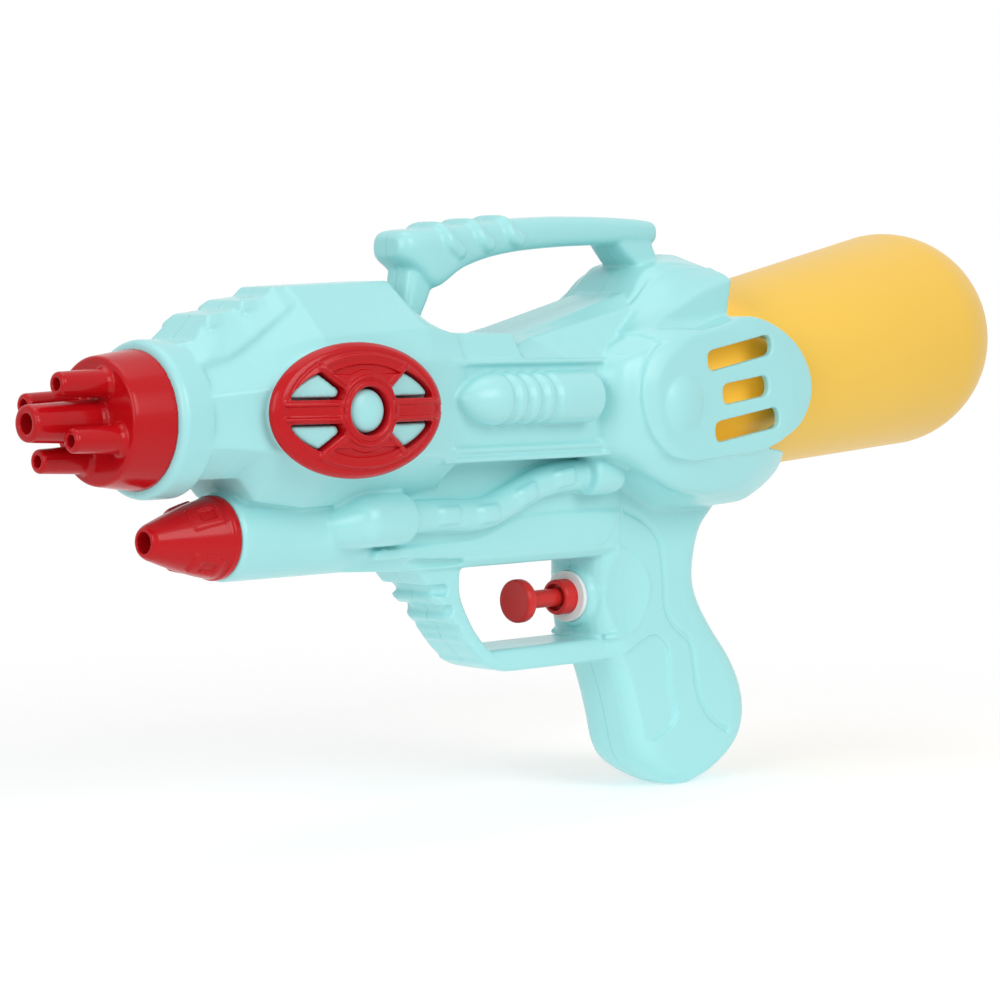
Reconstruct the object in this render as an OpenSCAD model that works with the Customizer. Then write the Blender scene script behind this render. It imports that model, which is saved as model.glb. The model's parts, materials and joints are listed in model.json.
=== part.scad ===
// Toy water squirter: glued clamshell body, push-button pump, screw-in tank.
// Muzzle towards -X, +Z up, the split between the halves at Y = 0.
// The origin is the centre of the water nozzle's mouth.

/* [Shell] */
// Wall thickness of the moulded halves
wall = 2; // [1.6:0.1:2.4]
// Softening of the long moulded edges
edge_r = 1.5; // [0.75:0.25:2]
// Half width of the side panels behind the emblems
panel_y = 21.5; // [20.5:0.25:22.5]
// Half width of the lower body above the trigger guard
keel_y = 11.5; // [10.5:0.25:12]
// Half thickness of the pistol grip
grip_y = 11; // [10.5:0.25:12]
// Half width of the trigger guard
guard_y = 8.5; // [7:0.25:9.5]
// Half width of the carry handle
handle_y = 7; // [6:0.25:8]
// Height of raised panels, ribs and pads on the shell
relief = 1.3; // [0.8:0.1:1.6]
// Width of the engraved panel lines
groove_w = 0.9; // [0.6:0.1:1.4]
// Radius of the locating pins between the halves
pin_r = 1.4; // [1:0.1:1.6]

/* [Rear housing] */
// Half width of the housing at its middle
housing_y = 30.5; // [29:0.5:32]
// Radius of the dome on each cheek plate
dome_r = 7.2; // [6:0.1:8]
// Width of the slots in the cheek plates
slot_w = 5.4; // [4:0.1:6]

/* [Muzzle] */
// Height of the muzzle axis over the nozzle axis
muzzle_z = 27.7; // [26.5:0.1:28.5]
// Radius of the drum at its rear edge
drum_r = 16.1; // [14:0.1:17]
// Length of the drum in front of the shell
drum_len = 11; // [8:0.5:14]
// Radius of the shell's ring around the drum
ring_r = 18.1; // [17.4:0.1:19]
// Length of the centre tube in front of the drum
centre_tube_len = 18.6; // [14:0.2:22]
// Tip radius of the centre tube
centre_tube_r = 4.2; // [3.4:0.1:4.6]
// Number of small tubes around the centre tube
tube_count = 4; // [3:1:5]
// Length of the small tubes
tube_len = 13; // [10:0.5:16]
// Tip radius of the small tubes
tube_r = 2.75; // [2:0.05:3]
// Radius of the circle that carries the small tubes
tube_circle_r = 9.3; // [8.8:0.1:9.6]

/* [Nozzle] */
// Length of the red nozzle cone
nozzle_len = 20.8; // [18:0.2:24]
// Radius of the nozzle at its flange
nozzle_r = 9.9; // [9.2:0.1:10.2]
// Radius of the nozzle's tip
nozzle_tip_r = 3.7; // [3.4:0.1:4.2]
// Radius of the nozzle's mouth
outlet_r = 2.5; // [2:0.1:2.8]
// Depth of the nozzle's mouth
outlet_depth = 7; // [5:0.5:8]
// Radius of the lower barrel behind the nozzle
barrel_r = 10.4; // [10:0.1:11]
// Radius of the fine hole in the jet insert
jet_r = 0.6; // [0.4:0.05:0.9]

/* [Emblem] */
// Half length of the oval emblem
emblem_a = 24.5; // [23.6:0.1:25.2]
// Half height of the oval emblem
emblem_b = 15.7; // [14:0.1:16.2]
// Height of the emblem's crown over its rim
emblem_crown = 2.4; // [1.5:0.1:3]
// Height of the emblem's rim
emblem_rim = 2.2; // [1.6:0.1:3]
// Turn of the emblem towards the muzzle, in degrees
emblem_tilt = 5; // [3:0.5:6]

/* [Tank] */
// Upward tilt of the tank axis, in degrees
tank_tilt = 8; // [7:0.5:9]
// Tank radius at its shoulder
tank_r = 22.4; // [21:0.2:23]
// Tank radius where its round end starts
tank_end_r = 30.5; // [28:0.2:31]
// Length of the tank from its neck to its round end
tank_len = 121; // [112:1:124]
// Wall thickness of the blow-moulded tank
tank_wall = 1.6; // [1.2:0.1:2]
// Outer radius of the tank's neck
neck_r = 10.8; // [10:0.1:11.4]
// Length of the tank's neck
neck_len = 14; // [12:0.5:15]
// Pitch of the neck thread
thread_pitch = 4; // [3.6:0.1:4.4]
// Height of the thread ridge
thread_h = 1.1; // [0.8:0.1:1.3]
// Thickness of the gasket under the neck
gasket_t = 2; // [1.5:0.1:2.5]

/* [Pump] */
// Height of the pump axis under the nozzle axis
pump_drop = 21.6; // [21:0.1:22]
// Travel of the trigger
travel = 9.5; // [8:0.5:9.5]
// Radius of the trigger button
button_r = 5.6; // [5:0.1:6.5]
// Thickness of the trigger button
button_t = 3; // [2.4:0.1:3.6]
// Radius of the trigger rod
rod_r = 2.35; // [2:0.05:2.6]
// Bore radius of the pump barrel
pump_bore_r = 4.6; // [4.4:0.05:4.8]
// Wall thickness of the pump barrel
pump_wall = 2; // [1.8:0.1:2.1]
// Radius of the valve balls
ball_r = 2.2; // [2:0.05:2.3]
// Lift of the valve balls off their seats
ball_lift = 1.1; // [0.8:0.1:1.3]
// Outer radius of the hoses
hose_r = 2.6; // [2.3:0.1:2.8]
// Radius of the hose barbs
barb_r = 1.6; // [1.4:0.1:1.8]
// Wire radius of the return spring
spring_wire_r = 0.4; // [0.3:0.05:0.5]

/* [Clearances] */
// Radial clearance of a sliding fit
slide_gap = 0.06; // [0.03:0.01:0.09]
// Clearance between a moving piece and what it passes
run_gap = 0.3; // [0.2:0.05:0.5]
// Clearance of a seated piece
seat_gap = 0.1; // [0.05:0.05:0.2]

/* [Hidden] */
slice = 0.4;
far = 120;
round_fn = 64;
body_fn = 20;

mint = [0.64, 0.9, 0.89];
red = [0.78, 0.07, 0.1];
orange = [0.95, 0.7, 0.2];
white = [0.93, 0.95, 0.95];
clear = [0.85, 0.9, 0.92];
rubber = [0.12, 0.12, 0.13];
steel = [0.75, 0.76, 0.78];

// Shell sections: distance behind the nozzle mouth, then the half outline from top to bottom
body_front_x = 4;
shield_back_x = 80;
shield = [
  [body_front_x, [[7, muzzle_z + 17], [17, muzzle_z + 5.5], [17, muzzle_z - 5.5], [9, muzzle_z - 13.6]]],
  [19, [[8.5, 47.5], [20, 34.5], [20, 20.8], [10.5, 14.2]]],
  [24, [[8, 50], [20.8, 35.8], [20.8, 20.4], [10.5, 8.6]]],
  [38, [[6.5, 58], [19, 46], [22.6, 38.5], [22.6, 19.5], [11, 6.5]]],
  [69, [[6.5, 59.4], [20, 48.5], [23, 40.5], [21.9, 18], [10, 7]]],
  [shield_back_x, [[6.5, 47.4], [19, 46.8], [22, 40.4], [panel_y, 17.6], [10, 8]]]
];
panel_top_z = 40;
panel_bottom_z = 15.8;
upper_body = [
  [74, [[18, 46.8], [panel_y, panel_top_z], [panel_y, panel_bottom_z]]],
  [100, [[18, 46.8], [panel_y, panel_top_z], [panel_y, panel_bottom_z]]],
  [101, [[13, 44.2], [17, 43.4], [panel_y, panel_top_z], [panel_y, panel_bottom_z]]],
  [110, [[9, 46.2], [14, 45.6], [panel_y, panel_top_z], [panel_y, panel_bottom_z]]],
  [144, [[8.3, 55.2], [14, 52.4], [panel_y, panel_top_z], [panel_y, panel_bottom_z]]],
  [154.4, [[8.3, 57.9], [13.5, 54.1], [panel_y, panel_top_z], [panel_y, panel_bottom_z]]]
];
keel_bottom_z = -10.8;
keel = [
  [56, [[7, 24], [9, 20], [9, -4], [4.5, -10]]],
  [78, [[keel_y - 1, 24], [keel_y, 20], [keel_y, -8.5], [keel_y - 2, keel_bottom_z]]],
  [146, [[keel_y - 1, 24], [keel_y, 20], [keel_y, -8.5], [keel_y - 2, keel_bottom_z]]]
];
// Grip slices: height, front, rear, share of the half thickness
grip_front_x = 139.5;
grip = [
  [8, grip_front_x, 193, 1], [0, grip_front_x, 187, 1], [-4.5, grip_front_x, 182.4, 1],
  [-10, grip_front_x, 180, 1], [-18, grip_front_x, 178.8, 1],
  [-25, grip_front_x + 0.5, 181, 1], [-33, 141.8, 186.8, 1], [-40, 147.2, 193, 1], [-47, 150.2, 197.6, 1],
  [-55, 152.8, 200, 1], [-62, 154.8, 198.4, 1], [-67, 158, 194.4, 0.94], [-71.5, 165, 188, 0.82],
  [-74, 171, 182, 0.62]
];
grip_edge_r = 8;
// Handle slices: distance, bottom, top, share of the half width
handle = [
  [74.6, 65.4, 69.8, 0.6], [76.4, 63.8, 71.4, 0.9], [80, 61.6, 72, 1.02], [86, 57.6, 72.4, 1.08], [96, 62.6, 73.4, 1.06],
  [110, 66.2, 74.8, 1], [128, 68.2, 76.1, 0.97], [150, 69.3, 76.5, 0.94], [164.6, 69.6, 75.8, 0.86],
  [166.8, 70.8, 74.4, 0.6]
];
handle_rib_x = [91.7, 99.8, 107.8];
guard_low_z = -38.2;
guard_bar_t = 6;
// Guard front bar: height, front, rear
guard_front = [[-8, 74, 93], [-12, 77.6, 92], [-17.5, 83, 92], [-23, 88.3, 94.6], [-28, 92.8, 98],
               [-32.5, 97, 103], [-35.8, 102.4, 108]];
finger_rib_z = [-16.5, -21.6, -26.6];

// Housing outlines in side view, each with its half width
housing = [
  [0, [[148, 54], [155, 62], [160, 65.2], [166, 66.6], [173, 67.3], [181, 67], [186, 0], [146, 0]]],
  [11, [[132, 40], [138, 44.7], [150, 56], [155, 61.6], [159, 64], [166, 65.2], [181, 63.6], [202, 9],
        [200, 4.6], [194, 1.6], [176, 0], [160, 0], [148, 6], [136, 15], [132, 20]]],
  [19.5, [[126.5, 36], [128.5, 41], [134, 43.8], [145, 48.8], [152, 51.8], [159, 54.8], [166, 57.4], [180, 60.6],
          [196, 10], [194, 5.8], [186, 2.2], [170, 2], [157, 4.6], [148, 9], [126.5, 17.5]]],
  [housing_y - 4.5, [[129, 34], [130.5, 39.5], [136, 43], [146, 47], [158, 51.2], [171, 55], [186, 57], [190, 14],
        [178, 6.5], [165, 5], [152, 6.4], [142, 10.6], [131.7, 17.2], [129, 24]]],
  [housing_y, [[139, 34], [143.4, 40], [152, 44.5], [165, 46], [184, 44], [190, 36], [190, 26], [184, 17],
               [165, 14], [150, 15], [142, 21]]]
];
hood_s = 52;
rim_gap = 1.3;
rim_outline = [[100, 90], [181, 90], [180.4, 66.6], [178.8, 60.6], [174.3, 49.9], [174, 44],
               [183, 16.5], [195, 15], [199.4, 8.4], [199, 3], [190, -20], [100, -20]];
cheek_outline = [[133.5, 30], [135, 39], [142.5, 45], [163, 48.5], [174, 51.5], [186, 48.7], [195.5, 42.6],
                 [199.6, 36], [200.6, 31], [199, 26], [195, 21.5], [181, 15.8], [151, 14], [143.5, 15.4],
                 [136.5, 21.5]];
cheek_soft_r = 4;
// Section of the hood above the cheeks: half width, height
hood_section = [[20.2, 90], [20.2, 60.6], [22.2, 49.9], [24.4, 46.9], [60, 45.2], [60, -40]];
// Front of the hood in side view, raked back towards the sides
hood_line = [[100, -40], [100, 41.2], [118.9, 41.2], [126.7, 45], [140.5, 52.2], [150.4, 56.6], [153, 61],
             [157, 64.6], [166, 70], [181, 90], [260, 90], [260, -40]];
hood_rake = [8, 0.8];
dome_x = 148;
dome_z = 28.8;
dome_rise = 1.9;
// Slots: centre distance, centre height, length, slant
slots = [[169.6, 41.4, 25.6, 10], [172, 31.8, 18.4, 7], [172.8, 22.8, 25.6, 8]];
scallop = [[133, -8.6], [147, -9.3], [155, -13], [157.4, -20], [154.7, -29], [143, -32.3], [133, -32.3]];
palm = [[143, -37], [160, -32], [166, -37], [167, -44], [170, -56], [160, -62], [147, -63]];
palm_line = [[148, 0.8], [156, -2.6], [161.7, -8], [163.6, -17], [164.3, -25.4], [168, -31], [174, -35.4],
             [176, -42], [177.5, -49.3], [182, -56], [190, -61]];

// Side decoration
bullet_x = [76.6, 89.3, 108.6, 122.1];
bullet_r = 6.4;
bullet_z = 31;
bullet_rib_count = 4;
pod_x = [47, 74];
pod_y = 13;
pod_z = 2.8;
pod_r = 6.4;
pipe_r = 4;
pipe_y = 13.2;
pipe_route = [[68, 2.7], [84, 2.4], [91, 2.8], [97, 5], [103, 8.2], [109, 10.4], [116, 11.2], [130, 10.8]];
pipe_pads = [[78.5, 2.6, 0], [91.5, 2.9, 15], [104.5, 8.6, 30], [118, 11.2, 0]];
knob_x = [128.5, 141];
knob_r = 5.3;
knob_y = 15.4;
// Wedge on top of the front, in side view
wedge = [[3.4, 39.6], [8.5, 45.5], [14, 51.4], [22, 52.6], [24, 54.6], [31.5, 55.6], [33.5, 57.8], [40, 58],
         [46, 56], [40, 54], [17, 42.4], [10, 41.6]];
wedge_y = [13.5, 6.5];
wedge_z = [39.6, 58];

// Emblem
emblem_x = 42.8;
emblem_z = 29.4;
emblem_y = 23.9;
hub_r = 5.6;
hub_ring = 2.4;
spoke_h = 5.6;
spoke_angle = 37;
window_a = 21.9;
window_b = 10.5;
pad_gap = 0.5;
pad_drop = 1.4;

// Tank
tank_x = 150;
tank_z = 27.1;
neck_front_s = 2 - neck_len;
shoulder_s = 10;
neck_bore_r = neck_r - 1.4;
thread_turns = 1.5;
thread_w = 1.5;
thread_steps = 24;
thread_s = neck_front_s + 3;
socket_r = neck_r + thread_h + run_gap;
socket_wall = 2.4;
socket_floor_t = 3;
socket_floor_s = neck_front_s - gasket_t;
socket_front_s = socket_floor_s - socket_floor_t;
socket_barb_len = 8;
tube_start_s = socket_floor_s;
hood_r = tank_radius(hood_s) + rim_gap + wall;

// Pump
pump_z = -pump_drop;
pump_r = pump_bore_r + pump_wall;
pump_x = 137.5;
collar_x = pump_x - 1.5;
collar_seat = 5;
button_gap = 4.8;
button_x = collar_x - travel - button_gap - button_t;
head_x = pump_x + collar_seat + 0.5;
head_t = 1.5;
cup_x = head_x + head_t;
cup_t = 3.5;
stud_r = 1.3;
port_x = cup_x + cup_t + travel + barb_r + 0.4;
web_x = port_x + 2.6;
web_t = 1.2;
ball_chamber_r = ball_r + 1.1;
bore_r = 1.2;
seat_depth = sqrt(ball_r * ball_r - bore_r * bore_r);
inlet_seat_x = web_x + web_t + ball_lift + ball_r + seat_depth + 2 * seat_gap;
inlet_ball_x = inlet_seat_x - seat_depth - seat_gap;
plug_len = 2.2;
elbow_x = inlet_seat_x + plug_len;
elbow_len = 4.4;
elbow_port_x = elbow_x + elbow_len / 2;
barb_len = 6.4;
barb_top_z = pump_z + pump_r + barb_len;

plug_r = ball_chamber_r + 0.9;
boss_x = pump_x + 1.2;

// Muzzle seat in the shell
ring_x = -2.4;
drum_spigot_r = 13;
drum_spigot_len = 8;
tube_start = 23;
flange_t = 2;

// Locating pins between the halves
pins = [[30, 38], [70, 50], [108, 36], [166, -58], [192, -52]];
pin_len = 3;

// Outlet valve on the nozzle axis
spigot_r = barrel_r - wall - seat_gap;
spigot_len = 6;
nozzle_bore_r = 4;
jet_x = outlet_depth + 2;
jet_t = 4;
valve_x = nozzle_len + spigot_len;
valve_r = 6;
valve_len = 16;
valve_chamber_r = ball_r + 0.7;
valve_chamber_x = valve_x + 2;
outlet_seat_x = valve_x + valve_len;
outlet_ball_x = outlet_seat_x - seat_depth - seat_gap;
valve_cap_len = 4;
valve_end_x = outlet_seat_x + valve_cap_len + 8;

// Hose routes
outlet_route = [[port_x, 0, barb_top_z - barb_len + 0.6], [port_x, 0, barb_top_z], [port_x, 0, barb_top_z + 1.8],
                [port_x - 2.6, 0, -2.6], [port_x - 8, 0, -0.4], [port_x - 15, 0, 0], [120, 0, 0], [90, 0, 0],
                [valve_end_x, 0, 0], [valve_end_x - 7, 0, 0]];
inlet_route = [[elbow_port_x, 0, barb_top_z - barb_len + 0.6], [elbow_port_x, 0, barb_top_z],
               [elbow_port_x, 0, barb_top_z + 1.8], [elbow_port_x - 3, 2, -2.6], [elbow_port_x - 9, 4.4, 0.8],
               [155, 5.4, 3.6], [138, 5.4, 5.2], [124, 4.6, 7], [115, 2, 11], [111.5, 0, 16.5], [114.4, 0, 20.6],
               axis_point(socket_front_s - socket_barb_len - 2), axis_point(socket_front_s - socket_barb_len),
               axis_point(socket_front_s - 1)];
pickup_route = [[0, tube_start_s], [0, 2], [1.5, 14], [6, 30], [12.5, 48], [18, 66], [20, 78]];

function mirrored(half) = concat(half, [for (i = [len(half) - 1 : -1 : 0]) [-half[i][0], half[i][1]]]);
function axis_point(s) = [tank_x + s * cos(tank_tilt), 0, tank_z + s * sin(tank_tilt)];
function tank_radius(s) = tank_r + (tank_end_r - tank_r) * (s - shoulder_s) / (tank_len - shoulder_s);
function ease(a, b, c, d, t) = 0.5 * (2 * b + (c - a) * t + (2 * a - 5 * b + 4 * c - d) * t * t
                               + (3 * b - a - 3 * c + d) * t * t * t);
function smooth(route, steps) = let (last = len(route) - 1) concat(
  [for (i = [0 : last - 1], k = [0 : steps - 1])
    ease(route[max(i - 1, 0)], route[i], route[i + 1], route[min(i + 2, last)], k / steps)], [route[last]]);
function unit(v) = v / norm(v);
function tangent(path, i) = unit(path[min(i + 1, len(path) - 1)] - path[max(i - 1, 0)]);
function side_dir(t) = unit(cross(t, abs(t[1]) > 0.9 ? [0, 0, 1] : [0, 1, 0]));
function ring(path, i, r, n) = let (t = tangent(path, i), u = side_dir(t), v = cross(u, t))
  [for (k = [0 : n - 1]) path[i] + r * (cos(360 * k / n) * u + sin(360 * k / n) * v)];

// Sides of a tube of rings with n points each, starting at point number base
function ring_sides(rings, n, base, out) = [for (i = [0 : rings - 2], k = [0 : n - 1], half = [0, 1])
  let (a = base + i * n + k, b = base + i * n + (k + 1) % n, c = b + n, d = a + n)
  out ? (half == 0 ? [a, b, c] : [a, c, d]) : (half == 0 ? [a, c, b] : [a, d, c])];

module solid_sweep(rings) {
  n = len(rings[0]);
  last = (len(rings) - 1) * n;
  polyhedron(points = [for (r = rings, p = r) p], faces = concat(ring_sides(len(rings), n, 0, true),
    [for (k = [1 : n - 2]) [0, k + 1, k]], [for (k = [1 : n - 2]) [last, last + k, last + k + 1]]));
}

// Hose with a bore, along a route of points
module hose(route, steps, r, bore, n) {
  path = smooth(route, steps);
  rings = len(path);
  inner = rings * n;
  last = (rings - 1) * n;
  polyhedron(
    points = concat([for (i = [0 : rings - 1], p = ring(path, i, r, n)) p],
                    [for (i = [0 : rings - 1], p = ring(path, i, bore / cos(180 / n), n)) p]),
    faces = concat(ring_sides(rings, n, 0, true), ring_sides(rings, n, inner, false),
      [for (k = [0 : n - 1], half = [0, 1]) let (a = k, b = (k + 1) % n)
        half == 0 ? [a, inner + a, b] : [b, inner + a, inner + b]],
      [for (k = [0 : n - 1], half = [0, 1]) let (a = last + k, b = last + (k + 1) % n)
        half == 0 ? [a, b, inner + a] : [b, inner + b, inner + a]]));
}

// Coil of round wire along +X, from the origin
module coil(run, r, wire, turns, steps, sides) {
  climb = (run - 2 * wire) / turns;
  lead = unit([climb, 0, 2 * PI * r]);
  solid_sweep([for (i = [0 : turns * steps]) let (a = 360 * i / steps, d = [0, cos(a), sin(a)],
      t = [lead[0], -lead[2] * sin(a), lead[2] * cos(a)], v = cross(d, t))
    [for (k = [0 : sides - 1]) let (b = 360 * k / sides)
      [wire + climb * i / steps, 0, 0] + r * d + wire * (cos(b) * d + sin(b) * v)]]);
}

// Ridge of a right-handed thread around +Z
module thread(r_root, r_crest, z, turns) {
  half_root = thread_w / 2;
  half_crest = thread_w / 4;
  up = r_crest > r_root ? 1 : -1;
  solid_sweep([for (i = [0 : turns * thread_steps]) let (a = 360 * i / thread_steps,
      h = z + thread_pitch * i / thread_steps, d = [cos(a), sin(a), 0])
    [d * r_root + [0, 0, h - up * half_root], d * r_crest + [0, 0, h - up * half_crest],
     d * r_crest + [0, 0, h + up * half_crest], d * r_root + [0, 0, h + up * half_root]]]);
}

module along_x(x, len) { translate([x, 0, 0]) rotate([90, 0, 90]) linear_extrude(len) children(); }
module rod_x(x, len, r, z = 0, y = 0, fn = round_fn) {
  translate([x, y, z]) rotate([0, 90, 0]) cylinder(h = len, r = r, $fn = fn);
}
// Outline in side view, pushed from y0 to y1 on the left side
module side_plate(y0, y1) { translate([0, -y0, 0]) rotate([90, 0, 0]) linear_extrude(y1 - y0) children(); }
module on_tank_axis() { translate([tank_x, 0, tank_z]) rotate([0, 90 - tank_tilt, 0]) children(); }

module section(s, w, x) {
  along_x(x, slice) if (w > 0) offset(delta = -w) polygon(mirrored(s[1]));
    else offset(r = edge_r, $fn = 12) offset(delta = -edge_r) polygon(mirrored(s[1]));
}
module loft(sections, w, front = 0) {
  last = len(sections) - 1;
  for (i = [0 : last - 1]) hull() {
    section(sections[i], w, sections[i][0] + (i == 0 ? front * w : 0));
    section(sections[i + 1], w, sections[i + 1][0]);
  }
}
module grip_slice(g, w, z) {
  y = grip_y * g[3] - w;
  r = min(grip_edge_r - w, y - 0.5);
  translate([0, 0, z]) linear_extrude(slice) hull()
    for (x = [g[1] + w + r, g[2] - w - r], s = [-1, 1])
      translate([x, s * (y - r)]) circle(r, $fn = w > 0 ? 8 : body_fn);
}
module grip_form(w) {
  last = len(grip) - 1;
  for (i = [0 : last - 1]) hull() {
    grip_slice(grip[i], w, grip[i][0]);
    grip_slice(grip[i + 1], w, grip[i + 1][0] + (i == last - 1 ? w : 0));
  }
}
module handle_form(w) {
  ends = w > 0 ? 1 : 0;
  for (i = [ends : len(handle) - 2 - ends]) hull() for (h = [handle[i], handle[i + 1]]) {
    y = handle_y * h[3] - w;
    r = min(3.6, (h[2] - h[1]) / 2 - 0.1, y - 0.1);
    along_x(h[0], slice) hull() for (s = [-1, 1], z = [h[1] + w + r, h[2] - w - r])
      translate([s * (y - r), z]) circle(r, $fn = w > 0 ? 8 : 16);
  }
}
module housing_form(w, s) {
  hull() {
    for (h = housing, m = [0, 1]) mirror([0, m, 0])
      side_plate(max(h[0] - w - slice, 0), max(h[0] - w, slice)) offset(delta = -w) polygon(h[1]);
    on_tank_axis() translate([0, 0, s]) cylinder(r = hood_r - w, h = slice, $fn = 48);
  }
}
module hood_keep(w) {
  intersection() {
    along_x(100, far) offset(delta = -w) polygon(mirrored(hood_section));
    multmatrix([[1, -hood_rake[1], 0, -hood_rake[0] * hood_rake[1]], [0, 1, 0, 0], [0, 0, 1, 0]])
      side_plate(-far, far) offset(delta = -w) polygon(hood_line);
  }
}
module cheek_shape() { offset(r = cheek_soft_r, $fn = 16) offset(delta = -cheek_soft_r) polygon(cheek_outline); }

// Bars of the trigger guard, solid
module guard_form() {
  soft = 1.8;
  for (i = [0 : len(guard_front) - 2]) hull() for (g = [guard_front[i], guard_front[i + 1]])
    translate([g[1], -guard_y, g[0]]) linear_extrude(slice) offset(r = soft, $fn = 12)
      offset(delta = -soft) square([g[2] - g[1], 2 * guard_y]);
  for (z = finger_rib_z) translate([lookup(z, [for (g = guard_front) [g[0], g[1]]]) + 0.6, 0, z])
    rotate([90, 0, 0]) cylinder(r = relief, h = 2 * guard_y - 3, center = true, $fn = 20);
  bar = [[101, guard_low_z + 2], [107, guard_low_z + 0.8], [113, guard_low_z], [152, guard_low_z]];
  for (i = [0 : len(bar) - 2]) hull() for (b = [bar[i], bar[i + 1]])
    along_x(b[0], slice) translate([-guard_y + 0.5, b[1]]) offset(r = soft, $fn = 16) offset(delta = -soft)
      square([2 * guard_y - 1, guard_low_z + guard_bar_t - b[1]]);
}
module handle_neck() {
  hull() for (n = [[64, 79, 88], [57, 77.5, 86], [48, 75, 80.5]])
    translate([n[1], -5, n[0]]) linear_extrude(slice) offset(r = 2, $fn = 12) offset(delta = -2)
      square([n[2] - n[1], 10]);
}
module handle_heel() {
  hull() for (n = [[70.8, 150, 165, 5.6], [63, 159, 169, 7]])
    translate([n[1], -n[3], n[0]]) linear_extrude(slice) offset(r = 2, $fn = 16) offset(delta = -2)
      square([n[2] - n[1], 2 * n[3]]);
}
module handle_ribs() {
  lean = 0.39;
  rib_rise = 1.4 * relief;
  rib_drop = 9.6;
  rib_len = 3.8;
  for (x = handle_rib_x) {
    y = handle_y * lookup(x, [for (h = handle) [h[0], h[3]]]) + rib_rise;
    top_z = lookup(x, [for (h = handle) [h[0], h[2]]]) + rib_rise;
    multmatrix([[1, 0, -lean, x + lean * top_z], [0, 1, 0, 0], [0, 0, 1, 0]]) along_x(-rib_len / 2, rib_len)
      difference() {
        offset(r = 3.4, $fn = 16) translate([3.4 - y, top_z - 16]) square([2 * y - 6.8, 12.6]);
        translate([-far, top_z - rib_drop - far]) square([2 * far, far]);
      }
  }
}
module wedge_form() {
  intersection() {
    side_plate(-far, far) polygon(wedge);
    along_x(0, 60) polygon([[-wedge_y[0], wedge_z[0]], [wedge_y[0], wedge_z[0]], [wedge_y[1], wedge_z[1]],
                            [-wedge_y[1], wedge_z[1]]]);
  }
}

// Everything that is hollow, drawn w inside its outer face
module body_form(w) {
  loft(shield, w, 1);
  loft(upper_body, w);
  loft(keel, w);
  grip_form(w);
  handle_form(w);
  rod_x(w > 0 ? nozzle_len - 1 : nozzle_len, 40, barrel_r - w, fn = w > 0 ? 24 : 36);
  if (w > 0) along_x(nozzle_len + spigot_len, 34) translate([-valve_r, 0]) square([2 * valve_r, 15]);
}

// Left side decoration
module bullet() {
  steps = 6;
  rib = (bullet_x[2] - bullet_x[1]) / (2 * bullet_rib_count);
  nose = [for (i = [0 : steps]) let (u = i / steps)
    [bullet_r * pow(1 - (1 - u) * (1 - u), 0.72), bullet_x[0] + (bullet_x[1] - bullet_x[0]) * u]];
  ribs = [for (i = [0 : bullet_rib_count - 1], k = [0 : 3]) let (x = bullet_x[1] + rib * 2 * i)
    [bullet_r - (k < 2 ? 1 : 0.1), x + (k < 2 ? k * rib + 0.2 : (k - 1) * rib)]];
  translate([0, -panel_y - 1.5, bullet_z]) rotate([0, 90, 0]) rotate_extrude($fn = 24)
    polygon(concat(nose, ribs, [[bullet_r, bullet_x[2]], [bullet_r, bullet_x[3]], [0, bullet_x[3]]]));
}
module pod() {
  hull() {
    translate([pod_x[0] + 5, 4 - pod_y, pod_z - 1]) sphere(pod_r - 1, $fn = 16);
    translate([pod_x[0] + 9, -pod_y, pod_z]) sphere(pod_r, $fn = 20);
    rod_x(pod_x[1] - 3, 1, pod_r, pod_z, -pod_y, 20);
    rod_x(pod_x[1] - 1, 1, pod_r - 1.2, pod_z, -pod_y, 20);
    rod_x(pod_x[0] + 7, pod_x[1] - pod_x[0] - 9, pod_r - 1.4, pod_z, -keel_y + 3, 16);
  }
}
module pipe() {
  path = smooth([for (p = pipe_route) [p[0], -pipe_y, p[1]]], 2);
  solid_sweep([for (i = [0 : len(path) - 1]) ring(path, i, pipe_r, 12)]);
  hull() {
    rod_x(knob_x[0], 1, knob_r - 0.6, pipe_route[7][1], -knob_y, 20);
    rod_x(knob_x[0] + 1, 5, knob_r, pipe_route[7][1], -knob_y, 20);
    translate([knob_x[1] - 3, -knob_y, pipe_route[7][1]]) sphere(knob_r - 0.4, $fn = 20);
  }
  for (p = pipe_pads) translate([p[0], -pipe_y - pipe_r + 0.5, p[1] + 0.4]) rotate([90, -p[2], 0])
    linear_extrude(0.9) offset(r = 0.9, $fn = 12) square([3.6, 1.6], center = true);
}
module side_lines() {
  for (z = [panel_top_z - 0.2, panel_bottom_z + 3.1, panel_bottom_z + 0.8]) translate([shield_back_x - 4, -panel_y - relief, z - 0.6])
    cube([136 - shield_back_x, relief + 3, 1.2]);
}
module on_emblem() { translate([emblem_x, -emblem_y, emblem_z]) rotate([0, 0, -emblem_tilt]) children(); }
module oval(inset) { scale([(emblem_a - inset) / (emblem_b - inset), 1]) circle(emblem_b - inset, $fn = round_fn); }
module crown(h, fn = round_fn) {
  spread = 1.25;
  rise = emblem_crown / (1 - sqrt(1 - 1 / (spread * spread)));
  translate([0, rise - emblem_rim - emblem_crown - h, 0]) scale([emblem_a * spread, rise, emblem_b * spread])
    sphere(1, $fn = fn);
}
module fan(a0, a1) { polygon([[0, 0], for (a = [a0, a1]) 40 * [cos(a), sin(a)]]); }
module windows(gap) {
  offset(r = 0.8, $fn = 12) offset(delta = -0.8 - gap) difference() {
    intersection() {
      scale([window_a / window_b, 1]) circle(window_b, $fn = round_fn);
      for (q = [0, 180]) {
        fan(q, q + spoke_angle);
        fan(q - spoke_angle, q);
      }
    }
    circle(hub_r + hub_ring, $fn = 48);
    square([80, spoke_h], center = true);
  }
}
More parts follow.
